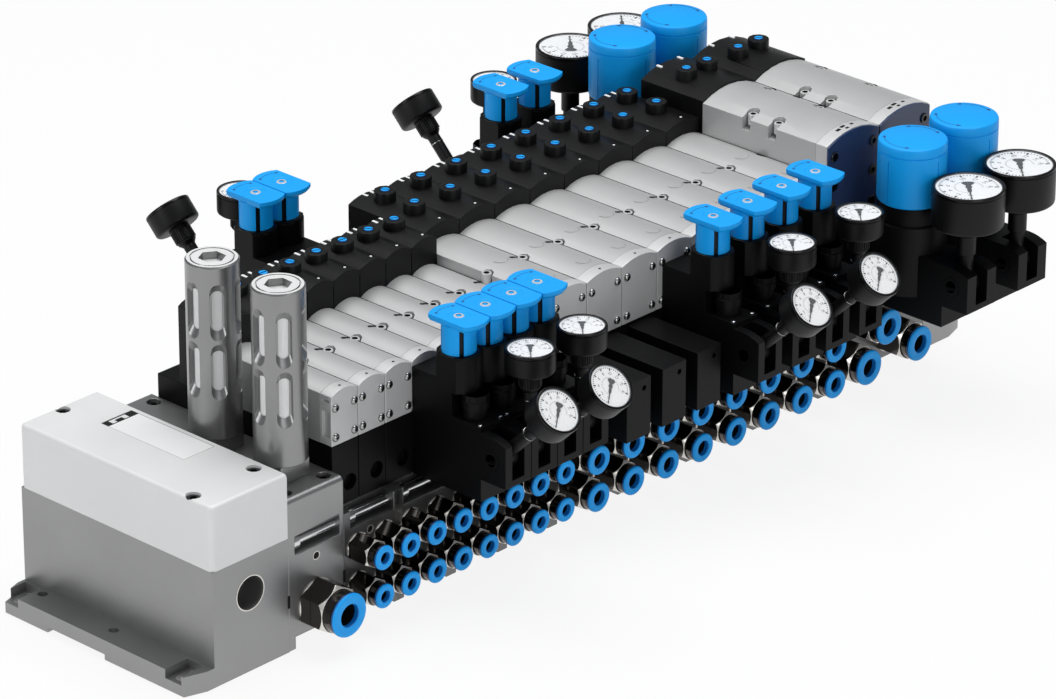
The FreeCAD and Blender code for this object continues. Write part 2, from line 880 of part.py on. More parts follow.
def mounting_flange(inner, outer):
    """A mounting flange with slots, holes and cut corners, from the end piece outwards."""
    side = 1 if outer > inner else -1
    cut = flange_chamfer_length
    deep = flange_chamfer_depth
    outline = [(inner, port_face), (outer - side * cut, port_face), (outer, port_face + deep),
               (outer, back_face - deep), (outer - side * cut, back_face), (inner, back_face)]
    flange = push([vector(x, y, 0) for x, y in outline], vector(0, 0, flange_thickness))
    cutters = []
    slot_x = outer - side * mounting_slot_outset
    for y in (behind(mounting_slot_setback), behind(mounting_slot_setback + mounting_slot_spacing)):
        half = mounting_slot_length / 2
        radius = mounting_slot_width / 2
        ends = [Part.makeCylinder(radius, flange_thickness, vector(slot_x + end * half, y, 0))
                for end in (-1, 1)]
        middle = block(slot_x - half, slot_x + half, y - radius, y + radius, 0, flange_thickness)
        cutters.append(joined(ends + [middle]))
        edges = sorted((outer, slot_x - side * (half + radius)))
        cutters.append(block(edges[0], edges[1], y - slot_pocket_width / 2, y + slot_pocket_width / 2,
                             flange_thickness - slot_pocket_depth, flange_thickness))
    middle_x = outer - side * middle_hole_outset
    cutters.append(upright(middle_hole, flange_hole_flat_count, middle_x,
                           behind(middle_hole_setback), 0, flange_thickness))
    locating_x = outer - side * locating_hole_outset
    cutters.append(upright(locating_hole, flange_hole_flat_count, locating_x,
                           behind(locating_hole_setback), 0, flange_thickness))
    relief = sorted((inner, outer))
    cutters.append(block(relief[0], relief[1], behind(foot_relief_start),
                         behind(foot_relief_start + foot_relief_length), 0, foot_relief))
    return flange.cut(cutters)


def end_block():
    """The left end block, which houses the electrics, with its cable hole and flange."""
    housing = block(end_block_left, supply_left, port_face, back_face, 0, end_block_height)
    flange = mounting_flange(end_block_left, flange_left)
    hole_x = supply_left - cable_hole_inset
    hole = round_hole(cable_hole, hole_x, cable_hole_height, port_face, port_face + cable_hole_depth)
    return joined([housing, flange]).cut(hole)


def right_end_plate():
    """The plate that closes the row, with the second mounting flange."""
    plate = block(row_end, end_plate_right, port_face, back_face, 0, manifold_height)
    return joined([plate, mounting_flange(end_plate_right, end_plate_right + flange_width)])


def cover_screw_places():
    """The screws of the end block's cover: two at the front and one at the back."""
    front = behind(cover_front_screw_setback)
    middle = (end_block_left + supply_left) / 2
    return [(end_block_left + cover_screw_edge, front), (supply_left - cover_right_screw_edge, front),
            (middle, back_face - cover_screw_edge)]


def end_block_cover():
    """The cover of the end block, with rounded edges, screw seats and a label recess."""
    top = end_block_height + end_cover_height
    cover = block(end_block_left, supply_left, port_face, back_face, end_block_height, top)
    middle = (end_block_left + supply_left) / 2
    corners = [edge for edge in cover.Edges if edge.BoundBox.ZLength > end_cover_height / 2
               and edge.BoundBox.XMax < middle]
    cover = cover.makeFillet(end_corner_radius, corners)
    rim = [edge for edge in cover.Edges if edge.BoundBox.ZMin > top - cover_edge_radius
           and edge.BoundBox.XMin < middle]
    cover = cover.makeFillet(cover_edge_radius, rim)
    label_right = supply_left - label_inset
    label = block(label_right - label_width, label_right, behind(label_setback),
                  behind(label_setback + label_length), top - label_depth, top)
    seats = [upright(cover_screw_seat, screw_seat_flat_count, x, y, top - cover_screw_depth, top)
             for x, y in cover_screw_places()]
    return cover.cut([label] + seats)


def screws():
    """The screws that show: in the cover, in the supply plate and along the sub-bases."""
    top = end_block_height + end_cover_height
    found = [upright(cover_screw, screw_flat_count, x, y, top - cover_screw_depth,
                     top - cover_screw_depth / 2) for x, y in cover_screw_places()]
    found += [upright(plate_screw, screw_flat_count, x, y, supply_height - plate_screw_depth,
                      supply_height - plate_screw_depth / 2) for x, y in plate_screw_places()]
    upper = manifold_height - upper_pocket_height / 2
    setback = port_face + pocket_depth / 2
    found += [tie_bolt(left, right, setback, upper)
              for left, right in [(supply_left, row_start)] + sub_base_edges()]
    return found


def main():
    os.makedirs("parts", exist_ok=True)
    rows = stations()
    ports = port_places()
    regulators = regulator_places()
    save("end_plates", [end_block(), right_end_plate()])
    save("end_block_cover", [end_block_cover()])
    save("supply_plate", [supply_plate()])
    save("silencer_shells", [silencer_shell(x, y) for x, y in silencer_places()])
    save("silencer_filters", [silencer_filter(x, y) for x, y in silencer_places()])
    save("manifold_blocks", sub_bases())
    save("stacking_plates", [stacking_plate(station) for station in rows])
    save("valve_end_caps", [end_cap(station) for station in rows])
    save("valve_bodies", [valve_body(station) for station in rows])
    save("pilot_housings", [pilot_housing(station) for station in rows])
    save("fitting_bodies", [fitting_body(*port) for port in ports])
    save("release_collars", [release_collar(*port) for port in ports])
    save("screws", screws())
    housings = []
    for station, edge, column, side in regulators:
        make = large_regulator_housing if station.size == "large" else regulator_housing
        housings.append(make(station.x, edge, column, side))
    save("regulator_housings", housings)
    save("gauge_cases", [gauge_case(place) for place in regulators])
    save("gauge_dials", [gauge_dial(place) for place in regulators])
    for station in rows:
        for number, place in enumerate(plunger_places(station), 1):
            name = f"override_{station.size}_{station.index + 1}_{number}"
            save(name, [plunger(station, place)])
    for station, _, column, side in regulators:
        where = "front" if side < 0 else "back"
        if station.size == "large":
            name = f"knob_{where}_large_{station.index + 1}"
            save(name, [round_knob(station.x, column)])
        else:
            name = f"handle_{where}_{station.size}_{station.index + 1}"
            save(name, [t_handle(station.x, column)])


main()
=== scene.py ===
# %% [markdown]
# The object is a pneumatic valve island: a row of air valves on aluminium blocks. Its solids
# come packed as a fixed frame, in metres, and this lesson dresses them. Each step says what a
# piece is on the real thing, how it could be made, and why this way was picked.

# %% Load the frame
import math
from collections import namedtuple

import bmesh
import bpy
from mathutils import Matrix, Vector


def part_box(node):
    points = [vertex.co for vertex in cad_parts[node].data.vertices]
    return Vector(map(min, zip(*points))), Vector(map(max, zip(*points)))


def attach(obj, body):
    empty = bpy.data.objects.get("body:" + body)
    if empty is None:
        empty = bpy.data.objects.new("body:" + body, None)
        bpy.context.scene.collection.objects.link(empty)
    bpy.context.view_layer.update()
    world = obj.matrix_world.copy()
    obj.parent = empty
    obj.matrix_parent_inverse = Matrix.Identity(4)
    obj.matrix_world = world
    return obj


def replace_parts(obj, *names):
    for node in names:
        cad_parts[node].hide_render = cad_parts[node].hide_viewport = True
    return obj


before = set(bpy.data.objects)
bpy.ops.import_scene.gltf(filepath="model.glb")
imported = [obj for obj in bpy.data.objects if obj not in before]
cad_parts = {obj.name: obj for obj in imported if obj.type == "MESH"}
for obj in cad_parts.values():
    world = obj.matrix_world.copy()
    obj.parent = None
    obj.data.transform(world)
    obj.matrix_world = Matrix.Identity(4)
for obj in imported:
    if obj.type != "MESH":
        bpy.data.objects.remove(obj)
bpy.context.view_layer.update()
island = "island"
mm = 0.001
print("nodes in the frame:", len(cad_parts))

# %% [markdown]
# The photograph was taken from far away with a long lens, so parallel edges stay almost
# parallel. The camera gets that lens and that place, and looks along the same line. A hair of
# roll makes the upright edges lean as they do in the picture.

# %% Camera
camera_place = Vector((-2.006, -1.866, 1.334))
camera_aim = Vector((0.6604, 0.6203, -0.4232))
camera_roll = math.radians(0.17)
camera_lens = 193.3
sensor_width = 36.0

camera_data = bpy.data.cameras.new("studio_camera")
camera_data.lens = camera_lens
camera_data.sensor_width = sensor_width
camera = bpy.data.objects.new("studio_camera", camera_data)
bpy.context.scene.collection.objects.link(camera)
camera.location = camera_place
turn = camera_aim.to_track_quat("-Z", "Y").to_matrix().to_4x4()
camera.rotation_euler = (turn @ Matrix.Rotation(camera_roll, 4, "Z")).to_euler()
bpy.context.scene.camera = camera
print("camera distance:", round(camera_place.length, 2), "m")

# %% [markdown]
# Soft studio light comes from large panels. One hangs over the object and two stand beside the
# camera, so that every upright cylinder gets a bright band with darker edges. The world is a
# calm grey, because polished metal needs something darker than the floor to mirror.

# %% Light and floor
world = bpy.data.worlds.new("studio")
bpy.context.scene.world = world
world.use_nodes = True
world_inputs = world.node_tree.nodes["Background"].inputs
world_inputs["Color"].default_value = (0.62, 0.64, 0.66, 1)
world_inputs["Strength"].default_value = 0.42
bpy.context.scene.view_settings.view_transform = "Standard"


def panel(name, place, target, width, height, power):
    """A soft light panel that faces a point."""
    data = bpy.data.lights.new(name, "AREA")
    data.shape = "RECTANGLE"
    data.size = width
    data.size_y = height
    data.energy = power
    light = bpy.data.objects.new(name, data)
    bpy.context.scene.collection.objects.link(light)
    light.location = place
    direction = Vector(target) - Vector(place)
    light.rotation_euler = direction.to_track_quat("-Z", "Y").to_euler()
    return light


panel("top_panel", (0.15, 0.1, 1.7), (0, 0, 0.05), 1.8, 1.0, 27)
panel("left_panel", (-2.1, 0.25, 0.9), (0, 0, 0.06), 0.9, 1.3, 11)
panel("front_panel", (-0.7, -2.2, 0.7), (0, 0, 0.06), 1.2, 0.9, 11)

floor_size, floor_drop = 12, 0.0004
bpy.ops.object.select_all(action="DESELECT")
bpy.ops.mesh.primitive_plane_add(size=floor_size, location=(0, 0, -floor_drop))
floor = bpy.context.active_object
floor.name = "studio_floor"

# %% [markdown]
# Every finish is a Principled material with its detail worked out by nodes. Effects that come
# back again and again are node groups with named inputs: the fine grain of blasted metal and
# moulded plastic, and a slow drift of tone and gloss over a large face. Each is placed in a
# material with its own values.

# %% Shared effects


def effect_group(name, inputs, outputs):
    """A node group with named sockets, and its input and output nodes."""
    group = bpy.data.node_groups.new(name, "ShaderNodeTree")
    for socket, kind, value in inputs:
        made = group.interface.new_socket(socket, in_out="INPUT", socket_type=kind)
        if value is not None:
            made.default_value = value
    for socket, kind in outputs:
        group.interface.new_socket(socket, in_out="OUTPUT", socket_type=kind)
    return group, group.nodes.new("NodeGroupInput"), group.nodes.new("NodeGroupOutput")


def make_grain():
    """Fine grain: small bumps, stretched where the surface was brushed."""
    group, given, result = effect_group(
        "fine_grain",
        [("Vector", "NodeSocketVector", None), ("Stretch", "NodeSocketVector", (1, 1, 1)),
         ("Scale", "NodeSocketFloat", 3000.0), ("Strength", "NodeSocketFloat", 0.2)],
        [("Mask", "NodeSocketFloat"), ("Normal", "NodeSocketVector")])
    stretch = group.nodes.new("ShaderNodeVectorMath")
    stretch.operation = "MULTIPLY"
    noise = group.nodes.new("ShaderNodeTexNoise")
    noise.inputs["Detail"].default_value = 2.0
    bump = group.nodes.new("ShaderNodeBump")
    bump.inputs["Distance"].default_value = 0.0001
    group.links.new(given.outputs["Vector"], stretch.inputs[0])
    group.links.new(given.outputs["Stretch"], stretch.inputs[1])
    group.links.new(stretch.outputs["Vector"], noise.inputs["Vector"])
    group.links.new(given.outputs["Scale"], noise.inputs["Scale"])
    group.links.new(given.outputs["Strength"], bump.inputs["Strength"])
    group.links.new(noise.outputs["Fac"], bump.inputs["Height"])
    group.links.new(noise.outputs["Fac"], result.inputs["Mask"])
    group.links.new(bump.outputs["Normal"], result.inputs["Normal"])
    return group


def make_drift():
    """Slow drift of tone: colour and roughness move a little between two neighbours."""
    group, given, result = effect_group(
        "tone_drift",
        [("Vector", "NodeSocketVector", None), ("Scale", "NodeSocketFloat", 30.0),
         ("Dark", "NodeSocketColor", (0.4, 0.4, 0.4, 1)),
         ("Light", "NodeSocketColor", (0.5, 0.5, 0.5, 1)),
         ("Smooth", "NodeSocketFloat", 0.3), ("Rough", "NodeSocketFloat", 0.4)],
        [("Color", "NodeSocketColor"), ("Roughness", "NodeSocketFloat")])
    noise = group.nodes.new("ShaderNodeTexNoise")
    noise.inputs["Detail"].default_value = 4.0
    group.links.new(given.outputs["Vector"], noise.inputs["Vector"])
    group.links.new(given.outputs["Scale"], noise.inputs["Scale"])
    for kind, low, high, output in (("RGBA", "Dark", "Light", "Color"),
                                    ("VALUE", "Smooth", "Rough", "Roughness")):
        mix = group.nodes.new("ShaderNodeMix")
        mix.data_type = "RGBA" if kind == "RGBA" else "FLOAT"
        ends = [s for s in mix.inputs if s.type == kind and s.name in ("A", "B")]
        group.links.new(noise.outputs["Fac"], mix.inputs["Factor"])
        group.links.new(given.outputs[low], ends[0])
        group.links.new(given.outputs[high], ends[1])
        made = [s for s in mix.outputs if s.type == kind][0]
        group.links.new(made, result.inputs[output])
    return group


grain = make_grain()
drift = make_drift()
print("shared effects:", grain.name, drift.name)

# %% [markdown]
# One function builds a finish from both effects. It takes two colours that lie close together,
# so that no face is a single flat tone, two roughness values, and the size and depth of the
# grain. The numbers that stay the same all over a surface sit on the shader's own sockets.

# %% Materials


def colour(tone):
    """A colour for a socket: one number is a grey, three are red, green and blue."""
    return (*tone, 1) if isinstance(tone, tuple) else (tone, tone, tone, 1)


def finish(name, dark, light, metallic, smooth, rough, grain_scale, grain_strength,
           stretch=(1, 1, 1), drift_scale=30.0, shine=0.5):
    """A material with a drifting tone and a fine grain."""
    material = bpy.data.materials.new(name)
    material.use_nodes = True
    tree = material.node_tree
    shader = tree.nodes["Principled BSDF"]
    shader.inputs["Metallic"].default_value = metallic
    shader.inputs["Specular IOR Level"].default_value = shine
    place = tree.nodes.new("ShaderNodeTexCoord")
    tone = tree.nodes.new("ShaderNodeGroup")
    tone.node_tree = drift
    tone.inputs["Scale"].default_value = drift_scale
    tone.inputs["Dark"].default_value = colour(dark)
    tone.inputs["Light"].default_value = colour(light)
    tone.inputs["Smooth"].default_value = smooth
    tone.inputs["Rough"].default_value = rough
    skin = tree.nodes.new("ShaderNodeGroup")
    skin.node_tree = grain
    skin.inputs["Stretch"].default_value = stretch
    skin.inputs["Scale"].default_value = grain_scale
    skin.inputs["Strength"].default_value = grain_strength
    for group in (tone, skin):
        tree.links.new(place.outputs["Object"], group.inputs["Vector"])
    tree.links.new(tone.outputs["Color"], shader.inputs["Base Color"])
    tree.links.new(tone.outputs["Roughness"], shader.inputs["Roughness"])
    tree.links.new(skin.outputs["Normal"], shader.inputs["Normal"])
    return material


cast_metal = finish("cast_metal", 0.28, 0.34, 0.85, 0.34, 0.42, 2600, 0.2)
cover_metal = finish("cover_metal", 0.70, 0.76, 0.1, 0.42, 0.52, 2600, 0.15)
base_metal = finish("base_metal", 0.15, 0.20, 0.85, 0.30, 0.38, 2600, 0.12)
valve_metal = finish("valve_metal", 0.47, 0.54, 0.4, 0.42, 0.50, 900, 0.1, (1, 0.06, 1))
cap_metal = finish("cap_metal", 0.56, 0.63, 0.35, 0.42, 0.52, 2600, 0.12)
silencer_metal = finish("silencer_metal", 0.25, 0.31, 0.85, 0.26, 0.34, 1200, 0.06, (1, 1, 0.08))
# Painted highlight for the faces on top of the silencers.
lid_metal = finish("lid_metal", 0.72, 0.80, 0.1, 0.34, 0.42, 2600, 0.08)
black_metal = finish("black_metal", 0.0014, 0.0024, 0.0, 0.40, 0.50, 2400, 0.12, shine=0.14)
black_plastic = finish("black_plastic", 0.002, 0.0034, 0.0, 0.40, 0.48, 2400, 0.2, shine=0.22)
black_gloss = finish("black_gloss", 0.002, 0.003, 0.0, 0.22, 0.28, 2400, 0.05, shine=0.22)
blue_plastic = finish("blue_plastic", (0.002, 0.33, 0.84), (0.004, 0.37, 0.92), 0.0, 0.4,
                      0.48, 2800, 0.1, shine=0.25)
ring_blue = finish("ring_blue", (0.003, 0.33, 0.86), (0.005, 0.38, 0.95), 0.0, 0.36, 0.44,
                   2800, 0.08, shine=0.3)
edge_blue = finish("edge_blue", (0.001, 0.08, 0.30), (0.002, 0.10, 0.36), 0.0, 0.36, 0.44,
                   2800, 0.05)
bore_blue = finish("bore_blue", (0.002, 0.19, 0.62), (0.003, 0.22, 0.70), 0.0, 0.4, 0.5, 2800, 0.05)
# Dark blue for the printed turn marks, and for painted shade on the plunger.
mark_blue = finish("mark_blue", (0.001, 0.055, 0.22), (0.002, 0.065, 0.26), 0.0, 0.5, 0.6,
                   2800, 0.05)
# Painted reflection: the nickel is made near black, standing in for the dark surroundings that the plated
# brass mirrors.
nickel = finish("nickel", (0.07, 0.065, 0.06), (0.11, 0.10, 0.095), 1.0, 0.09, 0.14, 1500, 0.03)
pale_nickel = finish("pale_nickel", (0.72, 0.69, 0.64), (0.82, 0.79, 0.74), 0.6, 0.18,
                     0.26, 1500, 0.03)
bright_steel = finish("bright_steel", 0.66, 0.76, 0.35, 0.22, 0.30, 1600, 0.03)
screw_steel = finish("screw_steel", 0.30, 0.42, 1.0, 0.18, 0.26, 2600, 0.05)
bolt_steel = finish("bolt_steel", 0.62, 0.74, 1.0, 0.16, 0.24, 1600, 0.05)
dark_steel = finish("dark_steel", 0.05, 0.09, 1.0, 0.24, 0.32, 2600, 0.05)
dial_white = finish("dial_white", 0.80, 0.86, 0.0, 0.5, 0.6, 2600, 0.02)
filter_white = finish("filter_white", 0.74, 0.86, 0.0, 0.7, 0.9, 900, 0.5)
label_white = finish("label_white", 0.80, 0.86, 0.0, 0.35, 0.45, 2600, 0.02)
# Black for print, and for painted shade in holes, sockets, recesses and wells.
mark_black = finish("mark_black", 0.006, 0.010, 0.0, 0.5, 0.6, 2600, 0.02, shine=0.2)
mark_grey = finish("mark_grey", 0.26, 0.32, 0.0, 0.5, 0.6, 2600, 0.02)
navy_gloss = finish("navy_gloss", (0.024, 0.042, 0.105), (0.034, 0.060, 0.145), 0.0, 0.18,
                    0.26, 2600, 0.04)
lamp_white = finish("lamp_white", 0.82, 0.9, 0.0, 0.3, 0.4, 2600, 0.02)
print("finishes:", len(bpy.data.materials))

# %% [markdown]
# The background of a product picture is white paper. Lighting paper until it is white would
# burn out the metal, so the paper itself glows a little, and only towards the camera and in
# what shiny metal and glass mirror. A share of plain paper stays, which keeps a soft shadow.

# %% White paper
paper = finish("white_paper", 0.86, 0.88, 0.0, 0.8, 0.9, 300, 0.02)
paper_tree = paper.node_tree
paper_glow = paper_tree.nodes.new("ShaderNodeEmission")
paper_glow.inputs["Color"].default_value = (1, 1, 1, 1)
paper_mix = paper_tree.nodes.new("ShaderNodeMixShader")
paper_path = paper_tree.nodes.new("ShaderNodeLightPath")
seen = paper_path.outputs["Is Camera Ray"]
for ray in ("Is Glossy Ray", "Is Transmission Ray"):
    either = paper_tree.nodes.new("ShaderNodeMath")
    either.operation = "MAXIMUM"
    paper_tree.links.new(seen, either.inputs[0])
    paper_tree.links.new(paper_path.outputs[ray], either.inputs[1])
    seen = either.outputs["Value"]
share = paper_tree.nodes.new("ShaderNodeMath")
share.operation = "MULTIPLY"
share.inputs[1].default_value = 0.88
paper_tree.links.new(seen, share.inputs[0])
paper_tree.links.new(share.outputs["Value"], paper_mix.inputs["Fac"])
paper_tree.links.new(paper_tree.nodes["Principled BSDF"].outputs["BSDF"], paper_mix.inputs[1])
paper_tree.links.new(paper_glow.outputs["Emission"], paper_mix.inputs[2])
paper_tree.links.new(paper_mix.outputs["Shader"], paper_tree.nodes["Material Output"].inputs["Surface"])
floor.data.materials.append(paper)
print("the floor is", paper.name)

# %% [markdown]
# The window over a dial is clear. Real glass in a path tracer blocks the light on its way to the
# dial, so the window is a very thin, almost see-through gloss instead.

# %% Window material
window = bpy.data.materials.new("gauge_window")
window.use_nodes = True
window_shader = window.node_tree.nodes["Principled BSDF"]
window_shader.inputs["Base Color"].default_value = (0.9, 0.95, 1.0, 1)
window_shader.inputs["Roughness"].default_value = 0.04
window_shader.inputs["Alpha"].default_value = 0.06

# %% [markdown]
# Small tools come first. They select one piece, apply a modifier, copy a piece to many places
# and say which body a piece rides on. Repeated pieces are modelled once, lying at the origin,
# and copied, because a change then reaches all of them.

# %% Modelling tools


def only(piece):
    """Makes one object the selected and active one."""
    bpy.ops.object.select_all(action="DESELECT")
    piece.select_set(True)
    bpy.context.view_layer.objects.active = piece


def modify(piece, kind, **values):
    """Adds a modifier with its values and applies it."""
    only(piece)
    modifier = piece.modifiers.new(kind.lower(), kind)
    for name, value in values.items():
        setattr(modifier, name, value)
    bpy.ops.object.modifier_apply(modifier=modifier.name)


def soften(piece, width, segments=2, angle=32):
    """Breaks every sharp edge with a small round, and shades the rest smooth."""
    modify(piece, "BEVEL", width=width * mm, segments=segments, limit_method="ANGLE",
           angle_limit=math.radians(angle), miter_outer="MITER_ARC", use_clamp_overlap=True)
    smooth(piece)
    modify(piece, "WEIGHTED_NORMAL", keep_sharp=True)


def smooth(piece, angle=32):
    """Shades a piece smooth, with edges sharper than the angle kept."""
    only(piece)
    bpy.ops.object.shade_smooth_by_angle(angle=math.radians(angle))


def cut(piece, cutter, operation="DIFFERENCE"):
    """Takes a cutter's shape away from a piece, or keeps only what both share."""
    modify(piece, "BOOLEAN", operation=operation, object=cutter, solver="EXACT")
    bpy.data.objects.remove(cutter)


def paint(piece, material):
    """Gives a piece one finish all over."""
    piece.data.materials.clear()
    piece.data.materials.append(material)
    return piece


def paint_where(piece, material, chosen):
    """Gives a painted piece a second finish on the faces that a test picks."""
    piece.data.materials.append(material)
    number = len(piece.data.materials) - 1
    for face in piece.data.polygons:
        if chosen(face.normal, face.center):
            face.material_index = number
    return piece


def seat(piece, material=None, body=island):
    """A finished piece, painted if a finish is given, rides on a body."""
    if material is not None:
        paint(piece, material)
    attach(piece, body)
    return piece


def join(pieces, name):
    """Several objects made into one."""
    bpy.ops.object.select_all(action="DESELECT")
    for piece in pieces:
        piece.select_set(True)
    bpy.context.view_layer.objects.active = pieces[0]
    if len(pieces) > 1:
        bpy.ops.object.join()
    pieces[0].name = name
    return pieces[0]


def copies(source, name, matrices, keep=False):
    """One object that holds a copy of a piece at every place."""
    made = []
    for matrix in matrices:
        twin = bpy.data.objects.new(name, source.data.copy())
        twin.data.transform(matrix)
        bpy.context.scene.collection.objects.link(twin)
        made.append(twin)
    if not keep:
        bpy.data.objects.remove(source)
    return join(made, name)


def at(x, y, z):
    """A place, in metres."""
    return Matrix.Translation((x, y, z))


def spun(degrees, axis="Z"):
    """A turn about an axis."""
    return Matrix.Rotation(math.radians(degrees), 4, axis)


def facing_ports(x, y, z):
    """A place for a piece that was made upright and has to point out of the port face."""
    return at(x, y, z) @ spun(90, "X")


def moved(piece, *matrices):
    """A piece after one or more moves of its mesh."""
    for matrix in matrices:
        piece.data.transform(matrix)
    return piece


# %% [markdown]
# Round pieces are built the way a lathe cuts them: a flat disc grows upwards step by step, each
# step with its own height and radius. Steps that go back down make a bore. A ring starts as an
# open circle instead, and its steps come back to the first one. Flat pieces start from an
# outline that is pushed up.

# %% Turned and flat pieces


def turned(name, steps, sides=40, ring=False):
    """A round piece from steps of height and radius, in millimetres."""
    steps = [(height * mm, radius * mm) for height, radius in steps]
    height, radius = steps[0]
    if ring:
        steps.append(steps[0])
    bpy.ops.object.select_all(action="DESELECT")
    bpy.ops.mesh.primitive_circle_add(vertices=sides, radius=radius,
                                      fill_type="NOTHING" if ring else "NGON")
    piece = bpy.context.active_object
    piece.name = name
    bpy.ops.object.mode_set(mode="EDIT")
    bpy.ops.mesh.select_all(action="SELECT")
    bpy.ops.transform.translate(value=(0, 0, height))
    for next_height, next_radius in steps[1:]:
        move = {"value": (0, 0, next_height - height)}
        bpy.ops.mesh.extrude_region_move(TRANSFORM_OT_translate=move)
        ratio = next_radius / radius
        bpy.ops.transform.resize(value=(ratio, ratio, 1), center_override=(0, 0, next_height))
        height, radius = next_height, next_radius
    bpy.ops.mesh.select_all(action="SELECT")
    if ring:
        bpy.ops.mesh.remove_doubles(threshold=0.0000005)
    bpy.ops.mesh.normals_make_consistent(inside=False)
    bpy.ops.object.mode_set(mode="OBJECT")
    smooth(piece)
    return piece


def pushed(name, outline, z0, z1, chamfer=0.0, foot=(1, 1)):
    """A flat piece: an outline in millimetres, pushed up, from a smaller foot if it has one."""
    mesh = bpy.data.meshes.new(name)
    corners = [(x * foot[0] * mm, y * foot[1] * mm, z0 * mm) for x, y in outline]
    mesh.from_pydata(corners, [], [range(len(outline))])
    piece = bpy.data.objects.new(name, mesh)
    bpy.context.scene.collection.objects.link(piece)
    only(piece)
    bpy.ops.object.mode_set(mode="EDIT")
    bpy.ops.mesh.select_all(action="SELECT")
    if chamfer:
        bpy.ops.mesh.extrude_region_move(TRANSFORM_OT_translate={"value": (0, 0, chamfer * mm)})
        bpy.ops.transform.resize(value=(1 / foot[0], 1 / foot[1], 1), center_override=(0, 0, 0))
    rise = (z1 - z0 - chamfer) * mm
    bpy.ops.mesh.extrude_region_move(TRANSFORM_OT_translate={"value": (0, 0, rise)})
    bpy.ops.mesh.select_all(action="SELECT")
    bpy.ops.mesh.normals_make_consistent(inside=False)
    bpy.ops.object.mode_set(mode="OBJECT")
    return piece


def ring_points(radius, count, start=0.0, end=360.0, x=0.0, y=0.0):
    """Points on an arc, in millimetres, with the angles in degrees."""
    full = abs(end - start) >= 360
    gaps = count if full else count - 1
    angles = [math.radians(start + (end - start) * i / gaps) for i in range(count)]
    return [(x + radius * math.cos(a), y + radius * math.sin(a)) for a in angles]


def slot_points(width, length, count=8):
    """The outline of a slot with round ends, long along Y."""
    reach = (length - width) / 2
    return (ring_points(width / 2, count, 0, 180, 0, reach)
            + ring_points(width / 2, count, 180, 360, 0, -reach))


def box_points(width, length):
    """The outline of a rectangle about the origin."""
    return [(-width / 2, -length / 2), (width / 2, -length / 2), (width / 2, length / 2),
            (-width / 2, length / 2)]


# %% [markdown]
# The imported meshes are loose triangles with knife-sharp edges. On the real thing every edge is
# broken by a fraction of a millimetre and catches a line of light. A copy of the node gets its
# corners merged, its flat faces cleaned up and its edges softened, and stands for the node. The
# same copy, taken apart, tells where each solid of a shared node stands.

# %% Dressed nodes and places from the frame


def merged_copy(node, name):
    """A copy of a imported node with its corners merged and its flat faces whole."""
    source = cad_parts[node]
    piece = bpy.data.objects.new(name, source.data.copy())
    bpy.context.scene.collection.objects.link(piece)
    only(piece)
    bpy.ops.object.mode_set(mode="EDIT")
    bpy.ops.mesh.select_all(action="SELECT")
    bpy.ops.mesh.remove_doubles(threshold=0.000002)
    bpy.ops.mesh.dissolve_limited(angle_limit=math.radians(1.5))
    bpy.ops.object.mode_set(mode="OBJECT")
    return piece


def dress(node, material, edge=0.3, cutter=None):
    """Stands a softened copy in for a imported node, with small cuts if it has any."""
    piece = merged_copy(node, node + "_dressed")
    if cutter is not None:
        cut(piece, cutter)
    soften(piece, edge)
    seat(piece, material)
    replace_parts(piece, node)
    return piece


class Solid:
    """The box, its centre, the mean corner and the widest face of one solid, in metres."""

    def __init__(self, corners, face_normal):
        self.low = Vector([min(c[i] for c in corners) for i in range(3)])
        self.high = Vector([max(c[i] for c in corners) for i in range(3)])
        self.size = self.high - self.low
        self.x, self.y, self.z = ((low + high) / 2 for low, high in zip(self.low, self.high))
        self.middle = sum(corners, Vector()) / len(corners)
        self.facing = face_normal


def solids_of(node):
    """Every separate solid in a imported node, from the supply end."""
    piece = merged_copy(node, "measured")
    mesh = bmesh.new()
    mesh.from_mesh(piece.data)
    found, seen = [], set()
    for start in mesh.verts:
        if start in seen:
            continue
        group, todo = [], [start]
        seen.add(start)
        while todo:
            corner = todo.pop()
            group.append(corner)
            for edge in corner.link_edges:
                other = edge.other_vert(corner)
                if other not in seen:
                    seen.add(other)
                    todo.append(other)
        faces = {face for corner in group for face in corner.link_faces}
        widest = max(faces, key=lambda face: (round(face.calc_area(), 9), face.normal.z))
        found.append(Solid([corner.co.copy() for corner in group], widest.normal.copy()))
    mesh.free()
    bpy.data.objects.remove(piece)
    return sorted(found, key=lambda solid: (round(solid.middle.x, 4), round(solid.middle.y, 4)))


fitting_solids = solids_of("release_collars")
dial_solids = solids_of("gauge_dials")
base_solids = solids_of("manifold_blocks")
body_solids = solids_of("valve_bodies")
cap_solids = solids_of("valve_end_caps")
pilot_solids = solids_of("pilot_housings")
housing_solids = solids_of("regulator_housings")
silencer_solids = solids_of("silencer_shells")
print("fittings:", len(fitting_solids), "gauges:", len(dial_solids), "valves:", len(body_solids))

# %% [markdown]
# Three sizes of valve stand in the row, and many details depend on the size. Its width tells
# which one a solid is. The top of each valve is a shallow arch, and whatever lies on it needs
# the height and the slope of that arch.

# %% Sizes of valves
side_tops = {"small": 124.3, "medium": 130.2, "large": 148.0}
crowns = {"small": 2.8, "medium": 2.9, "large": 5.0}
large_left_wells = (39.0, 57.5)
large_right_wells = (36.5, 72.5)
large_well_shift = 15.5
port_face = min(solid.low.y for solid in base_solids)


def size_of(solid):
    """The valve size of a solid, from its width."""
    width = solid.size.x / mm
    return "small" if width < 22 else "medium" if width < 35 else "large"


def arch_height(solid, x):
    """The height of a valve's arched top at an X."""
    size = size_of(solid)
    half = solid.size.x / 2
    crown = crowns[size] * mm
    radius = (half ** 2 + crown ** 2) / (2 * crown)
    return side_tops[size] * mm + crown - radius + math.sqrt(radius ** 2 - (x - solid.x) ** 2)


